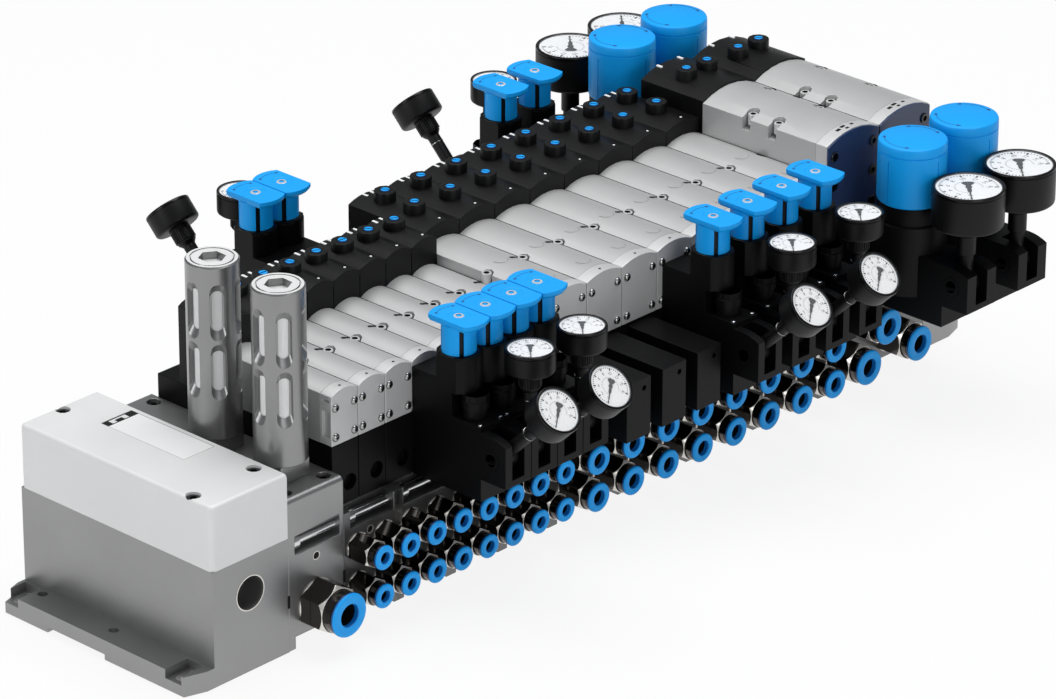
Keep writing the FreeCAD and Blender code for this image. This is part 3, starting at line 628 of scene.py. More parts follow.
def on_arch(solid, x, y):
    """A place on a valve's arched top, tilted with the arch."""
    step = 1.0 * mm
    slope = math.atan2(arch_height(solid, x - step) - arch_height(solid, x + step), 2 * step)
    return at(x, y, arch_height(solid, x)) @ Matrix.Rotation(slope, 4, "Y")


print("valve sizes:", [size_of(solid) for solid in body_solids])

# %% [markdown]
# The big castings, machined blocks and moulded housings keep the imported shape. Aluminium ones
# get a matte, slightly uneven surface, and the black ones are almost flat, with a soft sheen
# along their edges. Three kinds of small cut are made on the way: threaded holes in the port
# face, channels that open the left wells of the large valves to the side, and two recesses in
# the side of the first end cap.

# %% Blocks, plates and housings
hole_shift, hole_height, supply_hole_height = 18.6, 47.7, 47.0
channel_outline = [(-9.0, -2.9), (0.0, -2.9), (0.0, 2.9), (-9.0, 2.9)]
supply_low, supply_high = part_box("supply_plate")
hole_places = [facing_ports(solid.low.x + hole_shift * mm, port_face, hole_height * mm)
               for solid in base_solids]
supply_hole = [facing_ports((supply_low[0] + supply_high[0]) / 2, port_face, supply_hole_height * mm)]
drill = turned("drill", [(-5.0, 1.95), (1.0, 1.95)], 24)
base_drills = copies(drill, "base_drills", hole_places, keep=True)
supply_drill = copies(drill, "supply_drill", supply_hole)
channel_places = [at(solid.x - large_well_shift * mm, cap.low.y + setback * mm, 0)
                  for cap, solid in zip(cap_solids, body_solids) if size_of(solid) == "large"
                  for setback in large_left_wells]
channels = copies(pushed("channel", channel_outline, 141.0, 156.0), "channels", channel_places)
first_cap = cap_solids[0]
cap_cuts = [moved(pushed("recess", box_points(3.6, length), z0, z1), at(first_cap.low.x, first_cap.y, 0))
            for length, z0, z1 in ((5.4, 101.0, 115.5), (4.6, 120.6, 122.2))]
dress("end_plates", cast_metal, 0.5)
dress("end_block_cover", cover_metal, 0.4)
dress("supply_plate", cast_metal, 0.5, supply_drill)
dress("manifold_blocks", base_metal, 0.3, base_drills)
dress("stacking_plates", black_metal, 0.3)
dress("valve_bodies", valve_metal, 0.35, channels)
dress("valve_end_caps", cap_metal, 0.4, join(cap_cuts, "cap_cuts"))
dress("pilot_housings", black_plastic, 0.4)
dress("regulator_housings", black_metal, 0.4)

# %% [markdown]
# A push-in fitting is a hexagon bar of nickel-plated brass, turned round at its front. A tube is
# pushed through the blue release collar, and a ring of claws inside holds it. The corners of
# the hexagon are turned off at the front: a prism and a cone are made, and only what both share
# is kept. The turned corners are painted pale nickel as a painted highlight, which makes the small
# bright triangles, and the rest of the nickel is near black, a painted reflection of dark
# surroundings. The sides and the bore of the collar are a darker blue and the inside of the
# body is black, all painted shade.

# %% Push-in fittings
Fitting = namedtuple("Fitting", "tube collar spanner reach hexagon")
FITTINGS = [Fitting(6.0, 13.0, 14.0, 19.9, 13.4), Fitting(8.0, 16.0, 17.0, 21.8, 15.3),
            Fitting(10.0, 20.0, 21.0, 22.8, 16.3), Fitting(12.0, 23.5, 24.0, 23.5, 15.5)]
collar_depth = 2.2
wall_of_collar = 0.7
sleeve_depth = 2.4
sleeve_setback = 0.5
tube_stop = 3.2
tube_play = 0.05


def fitting_places(fitting):
    """The places of all the fittings of one size, by the width of their collars."""
    return [facing_ports(solid.middle.x, port_face, solid.middle.z) for solid in fitting_solids
            if abs(solid.size.z - fitting.collar * mm) < 1.0 * mm]


def hexagon_bar(fitting):
    """The spanner hexagon with turned corners, on a thin seal ring."""
    corner = fitting.spanner / math.sqrt(3)
    flat = fitting.spanner / 2
    end = fitting.hexagon
    bar = pushed("hexagon", ring_points(corner, 6, 30, 390), 0.5, end)
    cone = turned("cone", [(-1, corner + 1), (end - (corner - flat) - 0.2, corner + 0.05),
                           (end, flat - 0.15)], 64)
    cut(bar, cone, "INTERSECT")
    bore = fitting.tube / 2 + wall_of_collar + 0.1
    cut(bar, turned("bore", [(tube_stop - 0.6, bore), (end + 1, bore)], 48))
    soften(bar, 0.12, 1, 25)
    paint(bar, nickel)
    # Painted highlight: the turned corners get pale nickel, which makes the small bright triangles.
    return paint_where(bar, pale_nickel, lambda normal, middle: 0.3 < normal.z < 0.98)


def fitting_neck(fitting):
    """The turned front of the body, with a fine groove and a bore."""
    radius = fitting.collar / 2 - 0.35
    back = fitting.hexagon - 0.3
    front = fitting.reach - collar_depth
    bore = fitting.tube / 2 + wall_of_collar + 0.1
    steps = [(back, radius), (front - 1.0, radius), (front - 0.8, radius - 0.35),
             (front - 0.5, radius - 0.35), (front - 0.3, radius), (front, radius), (front, bore),
             (back, bore)]
    return paint(turned("neck", steps, 48, ring=True), nickel)


def release_ring(fitting):
    """The blue collar, domed in front; its sleeve that reaches into the body is a piece of its own."""
    radius = fitting.collar / 2
    front = fitting.reach
    back = front - collar_depth
    bore = fitting.tube / 2 + tube_play
    steps = [(back, radius - 0.5), (back + 0.4, radius), (front - 0.9, radius),
             (front - 0.4, radius - 0.22), (front - 0.1, radius - 0.65), (front, radius - 1.3),
             (front, bore + 0.8), (front - 0.2, bore + 0.25), (front - 0.7, bore),
             (front - 0.75, bore + 0.02), (back, bore + 0.02)]
    ring = paint(turned("ring", steps, 48, ring=True), ring_blue)
    # Painted shade: the collar's outer sides get a darker blue.
    paint_where(ring, edge_blue, lambda normal, middle: middle.xy.length > (radius - 0.3) * mm
                and abs(normal.z) < 0.3)
    # Painted shade: the collar's bore gets a darker blue.
    return paint_where(ring, bore_blue, lambda normal, middle: middle.xy.length < (bore + 0.2) * mm)


def sleeve_bore(fitting):
    """The wall of the collar's bore, a thin tube inside the body, in a darker blue as painted shade."""
    bore = fitting.tube / 2 + tube_play
    front = fitting.reach - sleeve_setback
    back = front - sleeve_depth
    outer = bore + wall_of_collar - 0.05
    steps = [(back, outer), (front - 1.7, outer), (front - 1.7, bore), (back, bore)]
    return turned("sleeve", steps, 40, ring=True)


def tube_shade_lining(fitting):
    """The inside of the body down to the stop where a tube ends, painted black as painted shade."""
    bore = fitting.tube / 2 + tube_play
    outer = bore + wall_of_collar
    front = fitting.reach - sleeve_setback - sleeve_depth
    steps = [(tube_stop - 0.5, outer), (front, outer), (front, bore), (front - 0.5, bore),
             (tube_stop, bore)]
    lining = paint(turned("lining", steps, 40), mark_black)
    return paint_where(lining, screw_steel, lambda normal, middle: middle.z > (front - 0.6) * mm)


def seal_ring(fitting):
    """The pale ring between the hexagon and the block."""
    radius = fitting.spanner / 2
    return turned("seal", [(0, radius + 0.5), (0.5, radius + 0.5), (0.9, radius + 0.1)], 40)


def for_all_fittings(*makers):
    """The pieces that some functions make, put at every fitting."""
    return [copies(make(fitting), "fitting_part", fitting_places(fitting))
            for fitting in FITTINGS for make in makers]


fitting_bodies = join(for_all_fittings(hexagon_bar, fitting_neck), "fitting_bodies_dressed")
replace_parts(seat(fitting_bodies), "fitting_bodies")
collars = join(for_all_fittings(release_ring), "release_collars_dressed")
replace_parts(seat(collars), "release_collars")
seat(join(for_all_fittings(sleeve_bore), "collar_sleeves"), bore_blue)
seat(join(for_all_fittings(tube_shade_lining), "tube_linings"))
seat(join(for_all_fittings(seal_ring), "fitting_seals"), pale_nickel)
print("fittings by tube:", {fitting.tube: len(fitting_places(fitting)) for fitting in FITTINGS})

# %% [markdown]
# A pressure gauge is a black cup with a white printed dial, a pointer and a clear window, on a
# knurled neck. It stands in a fork and can be tilted. All the pieces are made upright about the
# swivel, and each gauge is put at its dial, which the frame gives with its tilt. The pointer
# rests at the start of its scale. The dial carries plain numbers only.

# %% Pressure gauges
Gauge = namedtuple("Gauge", "diameter margin bottom top neck_bottom neck stem eye neck_collar")
GAUGES = [Gauge(26.0, 1.7, 39.9, 53.0, 31.0, 12.0, 7.0, 8.1, False),
          Gauge(39.5, 2.2, 33.0, 55.0, 28.0, 15.0, 8.0, 8.4, True)]
wide = 30.0
eye_diameter = 13.0
dial_below_rim = 0.8
dial_thickness = 0.8
print_thickness = 0.03
scale_start = 225.0
scale_sweep = 270.0
scale_numbers = 8
fine_ticks = 28
knurl_ridges = 28


def gauge_places(gauge):
    """Where the swivels of all the gauges of one size are, and how they are tilted."""
    places = []
    to_dial = (gauge.top - dial_below_rim - dial_thickness / 2) * mm
    for solid in dial_solids:
        if (solid.size.x > wide * mm) != (gauge.diameter > wide):
            continue
        axis = solid.facing.normalized()
        if axis.z < 0:
            axis = -axis
        swivel = solid.middle - axis * to_dial
        tilt = math.atan2(-axis.y, axis.z)
        place = Matrix.Translation(swivel) @ Matrix.Rotation(tilt, 4, "X")
        places.append(place @ spun(180) if swivel.y > 0 else place)
    return places


def gauge_cup(gauge):
    """The black cup with its rounded foot, and the well for the dial."""
    radius, bottom, top = gauge.diameter / 2, gauge.bottom, gauge.top
    steps = [(bottom, radius - 2.2), (bottom + 0.3, radius - 1.1), (bottom + 1.0, radius - 0.3),
             (bottom + 1.8, radius - 0.05), (top - 2.0, radius - 0.05), (top - 1.9, radius - 0.45),
             (top - 1.6, radius - 0.45), (top - 1.5, radius - 0.9), (top - 1.6, radius - 1.3)]
    return turned("cup", steps, 64)


def gauge_bezel(gauge):
    """The glossy rim that holds the window."""
    radius, top, margin = gauge.diameter / 2, gauge.top, gauge.margin
    steps = [(top - 1.6, radius - 1.4), (top - 1.55, radius), (top - 0.7, radius),
             (top - 0.2, radius - 0.2), (top, radius - 0.6), (top - 0.05, radius - 0.7 * margin),
             (top - 0.5, radius - 0.95 * margin), (top - 0.9, radius - margin)]
    return turned("bezel", steps, 64, ring=True)


def dial_face(gauge):
    """The radius and the height of the printed face."""
    return gauge.diameter / 2 - gauge.margin, gauge.top - dial_below_rim


def gauge_dial(gauge):
    """The white printed disc."""
    radius, top = dial_face(gauge)
    return turned("dial", [(top - dial_thickness, radius), (top, radius)], 64)


def ticks(gauge, count, shares):
    """Printed ticks; a function gives each its inner end, outer end and half width as shares."""
    radius, top = dial_face(gauge)
    marks = []
    for i in range(count + 1):
        inner, outer, width = (radius * share for share in shares(i))
        outline = [(inner, -width), (outer, -width), (outer, width), (inner, width)]
        mark = pushed("tick", outline, top, top + print_thickness)
        marks.append(moved(mark, spun(scale_start - scale_sweep * i / count)))
    return marks


def gauge_marks(gauge):
    """The printed scale: long and short ticks, and plain numbers."""
    radius, top = dial_face(gauge)
    marks = ticks(gauge, scale_numbers * 5,
                  lambda i: (0.86, 0.92, 0.017) if i % 5 else (0.78, 0.92, 0.034))
    reach = radius * 0.63 * mm
    for i in range(scale_numbers + 1):
        angle = math.radians(scale_start - scale_sweep * i / scale_numbers)
        bpy.ops.object.text_add()
        text = bpy.context.active_object.data
        text.body = str(2 * i)
        text.size = radius * 0.21 * mm
        text.align_x = "CENTER"
        text.align_y = "CENTER"
        bpy.ops.object.convert(target="MESH")
        place = at(reach * math.cos(angle), reach * math.sin(angle), (top + print_thickness) * mm)
        marks.append(moved(bpy.context.active_object, place))
    return join(marks, "marks")


def inner_scale(gauge):
    """The second, lighter scale nearer to the middle."""
    return join(ticks(gauge, fine_ticks, lambda i: (0.40, 0.46, 0.012)), "fine_marks")


def gauge_pointer(gauge):
    """The pointer at the start of its scale: a needle, a hub and a broad tail."""
    radius, top = dial_face(gauge)
    needle = [(-0.05, 0), (-0.055, -0.30), (-0.022, -0.42), (-0.010, -0.84), (0.010, -0.84),
              (0.022, -0.42), (0.055, -0.30), (0.05, 0), (0.06, 0.12), (0.16, 0.30), (0.10, 0.38),
              (-0.10, 0.38), (-0.16, 0.30), (-0.06, 0.12)]
    outline = [(1.25 * x * radius, y * radius) for x, y in needle]
    piece = pushed("needle", outline, top + 0.15, top + 0.35)
    steps = [(top, radius * 0.10), (top + 0.4, radius * 0.10), (top + 0.5, radius * 0.07)]
    hub = turned("hub", steps, 24)
    return moved(join([piece, hub], "pointer"), spun(scale_start - 270.0))


def gauge_window(gauge):
    """The clear window, a very flat dome."""
    radius, top = gauge.diameter / 2 - 1.2, gauge.top
    steps = [(top - 0.25, radius), (top - 0.12, radius * 0.7), (top - 0.08, radius * 0.35)]
    return turned("window", steps, 48)


def gauge_neck(gauge):
    """The knurled neck under the cup, with a step down to the stem."""
    ridge, stem, bottom, top = gauge.neck / 2, gauge.stem / 2, gauge.neck_bottom, gauge.bottom
    groove = ridge - 0.45
    outline = []
    for i in range(knurl_ridges):
        middle = 360.0 * i / knurl_ridges
        outline += ring_points(ridge, 2, middle - 3.2, middle + 3.2)
        outline += ring_points(groove, 2, middle + 4.6, middle + 8.2)
    neck = pushed("knurl", outline, bottom + 1.2, top - 1.4)
    steps = [(1, stem), (bottom - 2, stem), (bottom - 0.6, ridge - 1.4), (bottom, ridge - 0.8),
             (bottom + 1.3, groove - 0.1), (top - 1.5, groove - 0.1), (top - 1.4, ridge - 0.3),
             (top + 0.5, ridge - 0.1)]
    core = turned("core", steps, 40)
    smooth(neck)
    parts = [neck, core]
    if gauge.neck_collar:
        parts.append(turned("neck_collar", [(16.0, 4.6), (16.4, 5.1), (28.6, 5.1), (29.0, 4.7)], 40))
    return join(parts, "neck")


def gauge_ring(gauge):
    """The bright ring on the stem."""
    radius, low = gauge.stem / 2, gauge.neck_bottom - 6.5
    steps = [(low, radius), (low + 0.1, radius + 0.3), (low + 0.5, radius + 0.3), (low + 0.6, radius)]
    return turned("bright_ring", steps, 40)


def gauge_eye(gauge):
    """The swivel eye that the pin goes through, broad enough to fill the fork."""
    half, radius = gauge.eye / 2, eye_diameter / 2
    steps = [(-half, radius - 0.4), (-half + 0.4, radius), (half - 0.4, radius), (half, radius - 0.4)]
    return moved(turned("eye", steps, 40), spun(90, "Y"))


def for_all_gauges(name, *makers):
    """The pieces that some functions make, put at every gauge and joined."""
    return join([copies(make(gauge), "gauge_part", gauge_places(gauge))
                 for gauge in GAUGES for make in makers], name)


cups = for_all_gauges("gauge_cases_dressed", gauge_cup, gauge_neck, gauge_eye)
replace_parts(seat(cups, black_plastic), "gauge_cases")
seat(for_all_gauges("gauge_bezels", gauge_bezel), black_gloss)
dials = for_all_gauges("gauge_dials_dressed", gauge_dial)
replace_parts(seat(dials, dial_white), "gauge_dials")
seat(for_all_gauges("dial_marks", gauge_marks), mark_black)
seat(for_all_gauges("dial_fine_marks", inner_scale), mark_grey)
seat(for_all_gauges("gauge_pointers", gauge_pointer), mark_black)
seat(for_all_gauges("gauge_windows", gauge_window), window)
seat(for_all_gauges("gauge_stem_rings", gauge_ring), screw_steel)
print("gauges by diameter:", {gauge.diameter: len(gauge_places(gauge)) for gauge in GAUGES})

# %% [markdown]
# A silencer lets the exhaust air out quietly: a slotted aluminium tube over a porous white
# filter. The tube is turned with its rim and its groove, hollowed, and each slot is milled by
# a cutter whose round ends slope outwards. The lid has a hexagon socket to screw it in. The
# slots stand at the angle at which the picture shows them, with one turned almost to the
# camera.

# %% Silencers
silencer_radius = 13.75
silencer_wall = 2.6
silencer_foot = 20.0
foot_top = 93.5
tube_top = 188.0
hollow_ends = (98.0, 182.0)
socket_width = 12.4
slot_rows = ((115.5, 146.0), (148.0, 178.5))
slot_width = 8.4
slot_slope = (0.86, 0.68)
slot_turn = 27.0


def silencer_tube():
    """The slotted tube with its lid, made at the origin."""
    rim = silencer_radius - 2.3
    steps = [(foot_top, silencer_radius - 0.6), (foot_top + 0.6, silencer_radius),
             (tube_top - 0.8, silencer_radius), (tube_top, silencer_radius - 0.8), (tube_top, rim),
             (tube_top - 0.7, rim), (tube_top - 0.7, rim - 0.5), (tube_top, rim - 0.9)]
    tube = turned("tube", steps, 72)
    cut(tube, turned("hollow", [(z, silencer_radius - silencer_wall) for z in hollow_ends], 72))
    inside = silencer_radius - silencer_wall - 0.3
    slots = []
    for z0, z1 in slot_rows:
        slot = pushed("slot", slot_points(slot_width, z1 - z0, 10), inside, 20, silencer_wall, slot_slope)
        moved(slot, facing_ports(0, 0, (z0 + z1) / 2 * mm))
        slots.append(copies(slot, "slots", [spun(60 * i) for i in range(6)]))
    cut(tube, join(slots, "slots"))
    socket = ring_points(socket_width / math.sqrt(3), 6, 0, 360)
    cut(tube, pushed("socket", socket, tube_top - 4, tube_top + 1))
    soften(tube, 0.2, 2, 35)
    paint(moved(tube, spun(slot_turn)), silencer_metal)
    # Painted highlight: the faces that look up at the top get a paler matte finish, brighter than the
    # mirroring tube.
    paint_where(tube, lid_metal, lambda normal, middle: normal.z > 0.9 and middle.z > 0.18)
    foot = pushed("foot", box_points(silencer_foot, silencer_foot), 84, foot_top + 0.3)
    soften(foot, 0.5)
    return join([tube, paint(foot, silencer_metal)], "silencer")


silencer_places = [at(solid.middle.x, solid.y, 0) for solid in silencer_solids]
silencers = seat(copies(silencer_tube(), "silencer_shells_dressed", silencer_places))
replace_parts(silencers, "silencer_shells")
filter_core = turned("filter", [(98.1, 10.0), (98.1, 10.9), (181.9, 10.9), (181.9, 10.0)], 64)
filters = copies(filter_core, "silencer_filters_dressed", silencer_places)
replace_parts(seat(filters, filter_white), "silencer_filters")
print("silencers:", len(silencer_places))

# %% [markdown]
# The T handle of a regulator is moulded in blue plastic: a flat plate with curved ends on a
# slotted stem. Pulled up, it can be turned to set the pressure. A small steel screw sits in the
# middle, and a thin arc with two arrow heads shows that it turns. The black core shows through
# the slots of the stem.

# %% T handles
head_length = 31.0
head_width = 18.3
head_bottom = 151.4
head_top = 155.0
stem_radius = 9.0
stem_bottom = 136.3
stem_slot_width = 2.4
stem_slot_count = 4
stem_slot_turn = 53


def handle_head():
    """The flat head: a disc cut off at both sides."""
    reach = math.degrees(math.asin(head_width / head_length))
    radius = head_length / 2
    outline = (ring_points(radius, 14, 270 - reach, 270 + reach)
               + ring_points(radius, 14, 90 - reach, 90 + reach))
    head = pushed("head", outline, head_bottom, head_top, 1.5, (0.92, 0.92))
    cut(head, turned("well", [(head_top - 0.3, 5.6), (head_top + 1, 6.6)], 40))
    soften(head, 0.35, 3, 20)
    return head


def handle_stem():
    """The round stem with its four slots."""
    steps = [(stem_bottom, 7.4), (stem_bottom, stem_radius), (head_bottom + 0.2, stem_radius)]
    stem = turned("stem", steps, 56)
    for i in range(stem_slot_count):
        slot = pushed("slot", box_points(stem_slot_width, 6), stem_bottom - 1, head_bottom - 1.2)
        cut(stem, moved(slot, at(0, -stem_radius * mm, 0), spun(stem_slot_turn + 90 * i)))
    soften(stem, 0.2, 1, 40)
    return stem


def turn_marks(radius, width, z, start, end, name="arc"):
    """An arc with an arrow head at each end, as thin as print."""
    outer = ring_points(radius + width / 2, 12, start, end)
    inner = ring_points(radius - width / 2, 12, end, start)
    parts = [pushed(name, outer + inner, z, z + 0.03)]
    for angle, way in ((start, -1), (end, 1)):
        tip = math.radians(angle + way * 10)
        foot = math.radians(angle)
        points = [(radius * math.cos(tip), radius * math.sin(tip)),
                  ((radius + 3 * width) * math.cos(foot), (radius + 3 * width) * math.sin(foot)),
                  ((radius - 3 * width) * math.cos(foot), (radius - 3 * width) * math.sin(foot))]
        parts.append(pushed(name, points, z, z + 0.03))
    return join(parts, name)


def small_socket_screw(radius, z, socket, depth):
    """A little screw head with a recess, from its top down."""
    screw = turned("screw", [(z - 0.8, radius), (z - 0.25, radius), (z, radius - 0.25), (z, socket),
                             (z - 0.35, socket), (z - depth, socket * 0.9)], 32)
    paint(screw, bright_steel)
    # Painted shade: the recess is painted black.
    return paint_where(screw, mark_black, lambda normal, middle: middle.xy.length < socket * mm
                       and middle.z < (z - 0.1) * mm)


def dress_movers(kind, parts):
    """Sets the parts of a moving piece on each node of its kind; the first stands for the node."""
    names = [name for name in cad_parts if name.startswith(kind)]
    for name in names:
        low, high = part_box(name)
        place = [at((low[0] + high[0]) / 2, (low[1] + high[1]) / 2, 0)]
        for source, ending, slot, material in parts:
            piece = seat(copies(source, name + ending, place, keep=True), material, name)
            if ending == "_dressed":
                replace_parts(piece, name)
    for part in parts:
        bpy.data.objects.remove(part[0])
    return names


handle_core = turned("core", [(stem_bottom, 7.6), (head_bottom - 0.4, 7.6)], 40)
handle_names = dress_movers("handle", (
    (join([handle_head(), handle_stem()], "handle"), "_dressed", "blue_plastic", blue_plastic),
    (handle_core, "_core", "black_plastic", black_plastic),
    (small_socket_screw(2.75, head_top - 0.05, 1.55, 1.6), "_screw", "screw_steel", None),
    (turn_marks(11.6, 0.35, head_top, 62, 118), "_arc", "blue_plastic", mark_blue)))
print("T handles:", len(handle_names))

# %% [markdown]
# The large regulators have a round knob of the same plastic. It is turned, with a groove under
# its cap and four fine upright lines where the halves of the mould met.

# %% Round knobs
knob_radius = 18.75
knob_bottom = 124.7
knob_top = 159.5
knob_groove = 153.8
knob_line_turn = 87


def knob_body():
    """The knob with its groove and its grip lines."""
    knob = turned("knob", [(knob_bottom, knob_radius - 1.2), (knob_bottom + 0.8, knob_radius - 0.3),
                           (knob_bottom + 2.5, knob_radius - 0.1), (knob_groove - 0.2, knob_radius),
                           (knob_groove, knob_radius - 0.45), (knob_groove + 0.5, knob_radius - 0.45),
                           (knob_groove + 0.7, knob_radius), (knob_top - 1.4, knob_radius - 0.1),
                           (knob_top - 0.5, knob_radius - 0.5), (knob_top, knob_radius - 1.5)], 96)
    for i in range(4):
        line = pushed("line", box_points(0.5, 1.4), knob_bottom - 1, knob_groove - 3)
        cut(knob, moved(line, at(0, -(knob_radius + 0.2) * mm, 0), spun(knob_line_turn + 90 * i)))
    smooth(knob)
    return knob


knob_marks = [turn_marks(15.3, 0.4, knob_top, start, end) for start, end in ((133, 204), (-16, 46))]
knob_names = dress_movers("knob", (
    (knob_body(), "_dressed", "blue_plastic", blue_plastic),
    (join(knob_marks, "marks"), "_marks", "blue_plastic", mark_blue)))
print("round knobs:", len(knob_names))

# %% [markdown]
# A manual override lets a fitter switch a valve by hand with a screwdriver. The blue plunger
# has a slot and stands in a black boss with a small skirt. The boss is a separate collar here,
# turned and slipped over the plain one of the housing.

# %% Manual overrides
boss_radius = 5.93
plunger_radius = 2.5
plunger_length = 4.0
plunger_proud = 0.4
first_slot_turn, slot_turn_step = 35, 23


def override_boss(height):
    """The boss from its top at zero down to its skirt."""
    return turned("boss", [(-height, 6.7), (-height + 0.9, 6.6), (-height + 1.1, boss_radius),
                           (-0.55, boss_radius), (-0.15, boss_radius - 0.15), (0.04, boss_radius - 0.6),
                           (0.04, 3.9), (-0.35, 3.7), (-0.35, 3.0), (-0.9, 2.95)], 44)


def override_plunger():
    """The plunger with the slot for a screwdriver."""
    plunger = turned("plunger", [(-plunger_length, plunger_radius), (-0.2, plunger_radius),
                                 (0, plunger_radius - 0.2)], 32)
    cut(plunger, pushed("slot", box_points(0.9, 4.2), -0.8, 1))
    paint(plunger, blue_plastic)
    # Painted shade: the plunger's sides and its slot are painted a dark blue.
    return paint_where(plunger, mark_blue, lambda normal, middle: middle.z < -0.1 * mm)


boss_heights = {"small": 7.2, "medium": 8.5, "large": 9.4}
plunger_model = override_plunger()
boss_places = {size: [] for size in boss_heights}
override_names = [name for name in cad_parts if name.startswith("override")]
for name in override_names:
    low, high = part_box(name)
    x, y, z = (low[0] + high[0]) / 2, (low[1] + high[1]) / 2, high[2]
    turn = spun(first_slot_turn + slot_turn_step * (len(boss_places["small"]) % 3))
    piece = seat(copies(plunger_model, name + "_dressed", [at(x, y, z) @ turn], keep=True),
                 None, name)
    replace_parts(piece, name)
    boss_places[name.split("_")[1]].append(at(x, y, z - plunger_proud * mm))
bpy.data.objects.remove(plunger_model)
bosses = [copies(override_boss(height + 0.4), "bosses_" + size, boss_places[size])
          for size, height in boss_heights.items()]
seat(join(bosses, "override_bosses"), black_plastic)
print("manual overrides:", len(override_names))

# %% [markdown]
# Each pilot housing has two white lamp windows at its back edge and a small white dot near its
# front. They are thin moulded windows, so low boxes with soft edges will do. The place of the
# printed name between them stays bare.

# %% Indicator lamps
pilot_heights = {"small": 142.6, "medium": 141.7, "large": 154.2}
lamp_spread = {"small": 2.4, "medium": 2.6, "large": 8.5}
lamp_inset, dot_shift, dot_setback, lamp_sink = 2.1, 2.6, 4.0, 0.3
lamps, dots = [], []
for solid in pilot_solids:
    size = size_of(solid)
    top = pilot_heights[size] * mm
    for side in (-1, 1):
        lamps.append(at(solid.x + side * lamp_spread[size] * mm, solid.high.y - lamp_inset * mm,
                        top - lamp_sink * mm))
    if size != "large":
        dots.append(at(solid.x + dot_shift * mm, solid.low.y + dot_setback * mm,
                       top - lamp_sink * mm))
lamp = pushed("lamp", box_points(1.5, 4.0), -0.6, 0.35)
soften(lamp, 0.15, 1)
dot = turned("dot", [(-0.6, 0.65), (0.3, 0.65), (0.36, 0.5)], 20)
lights = join([copies(lamp, "lamps", lamps), copies(dot, "dots", dots)], "pilot_lamps")
seat(lights, lamp_white)
print("lamps:", len(lamps))

# %% [markdown]
# The valves are bolted down through wells in their tops. In each well sits a socket screw of
# bright steel, its socket painted black, and the wells between two valves of one size and on
# the right of the large ones are lined with black: painted shade. A notch for a label clip leads
# into the well from the side; it is a thin black patch of painted shade. Thin dark joints run
# between the valves, where the light doesn't reach.

# %% Hold-down screws
well_setbacks = {"small": 40.0, "medium": 45.5}
well_radius = 3.75
low_screw, high_screw = 0.8, 1.3
half_seam = 0.2
notch_shift, notch_setback = 5.0, 1.7
mark_setback, second_mark_shift, second_mark_setback = 3.2, 1.5, 9
screw_places, shade_lining_places, notches, rings = [], [], [], []
for i, solid in enumerate(body_solids):
    size = size_of(solid)
    front = cap_solids[i].low.y
    top = side_tops[size] * mm
    if size == "large":
        for side, setbacks in ((-1, large_left_wells), (1, large_right_wells)):
            across = solid.x + side * large_well_shift * mm
            wells = [at(across, front + setback * mm, top + high_screw * mm) for setback in setbacks]
            screw_places += wells
            shade_lining_places += wells if side > 0 else []
        continue
    seam = solid.low.x - half_seam * mm
    y = front + well_setbacks[size] * mm
    left = body_solids[max(i - 1, 0)]
    screw_places.append(at(seam, y, top + low_screw * mm))
    if i:
        notches.append(on_arch(left, seam - notch_shift * mm, y + notch_setback * mm) @ spun(90))
    if i and size_of(left) == size:
        shade_lining_places.append(at(seam, y, top))
    if size == "medium":
        rings.append(on_arch(solid, solid.x, y + mark_setback * mm))
        rings.append(on_arch(solid, solid.x + second_mark_shift * mm,
                             solid.low.y + second_mark_setback * mm))
steps = [(-6.0, 2.75), (-0.35, 2.75), (0, 2.5), (0, 1.6), (-0.2, 1.5), (-2.0, 1.45)]
well_screw = paint(turned("well_screw", steps, 32), bright_steel)
# Painted shade: the screw's socket is painted black.
paint_where(well_screw, mark_black,
            lambda normal, middle: middle.xy.length < 1.55 * mm and middle.z < -0.05 * mm)
seat(copies(well_screw, "hold_down_screws", screw_places))
# Painted shade: a black lining stands in for the shade inside the well.
steps = [(-5.5, well_radius), (-0.1, well_radius), (-0.1, well_radius - 0.15), (-1.6, well_radius - 0.2)]
lining = turned("lining", steps, 40)
seat(copies(lining, "well_linings", shade_lining_places), mark_black)
# Painted shade: a thin black patch stands in for the shade in the clip notch.
notch = pushed("notch", slot_points(2.3, 5.4, 6), -0.4, 0.07)
seat(copies(notch, "clip_notches", notches), mark_black)
arc_outline = ring_points(4.4, 18, 170, 340) + ring_points(4.15, 18, 340, 170)
ring_mark = pushed("ring_mark", arc_outline, -0.05, 0.035)
seat(copies(ring_mark, "core_marks", rings), mark_grey)
print("hold-down screws:", len(screw_places), "clip notches:", len(notches))

# %% [markdown]
# The joints are thin strips that fill the gap between two valves. Each ends just above the lower
# valve's edge, so that it reads as a fine dark line from every side.

# %% Dark joints
pilot_side_tops = {"small": 139.8, "medium": 138.8, "large": 149.2}
joint_width = 0.7
joint_parts = []
for solids, tops in ((body_solids, side_tops), (pilot_solids, pilot_side_tops)):
    for left, right in zip(solids, solids[1:]):
        front, back = max(left.low.y, right.low.y), min(left.high.y, right.high.y)
        top = min(tops[size_of(left)], tops[size_of(right)])
        joint = pushed("joint", box_points(joint_width, (back - front) / mm - 0.4), top - 3, top + 0.05)
        joint_parts.append(moved(joint, at((left.high.x + right.low.x) / 2, (front + back) / 2, 0)))
seat(join(joint_parts, "dark_joints"), mark_black)
print("joints:", len(joint_parts))

# %% [markdown]
# Four button screws hold each end cap. The caps of the large valves carry a glossy dark plate
# with socket screws instead. On top of a cap is a tiny vent hole, a black disc of painted shade.

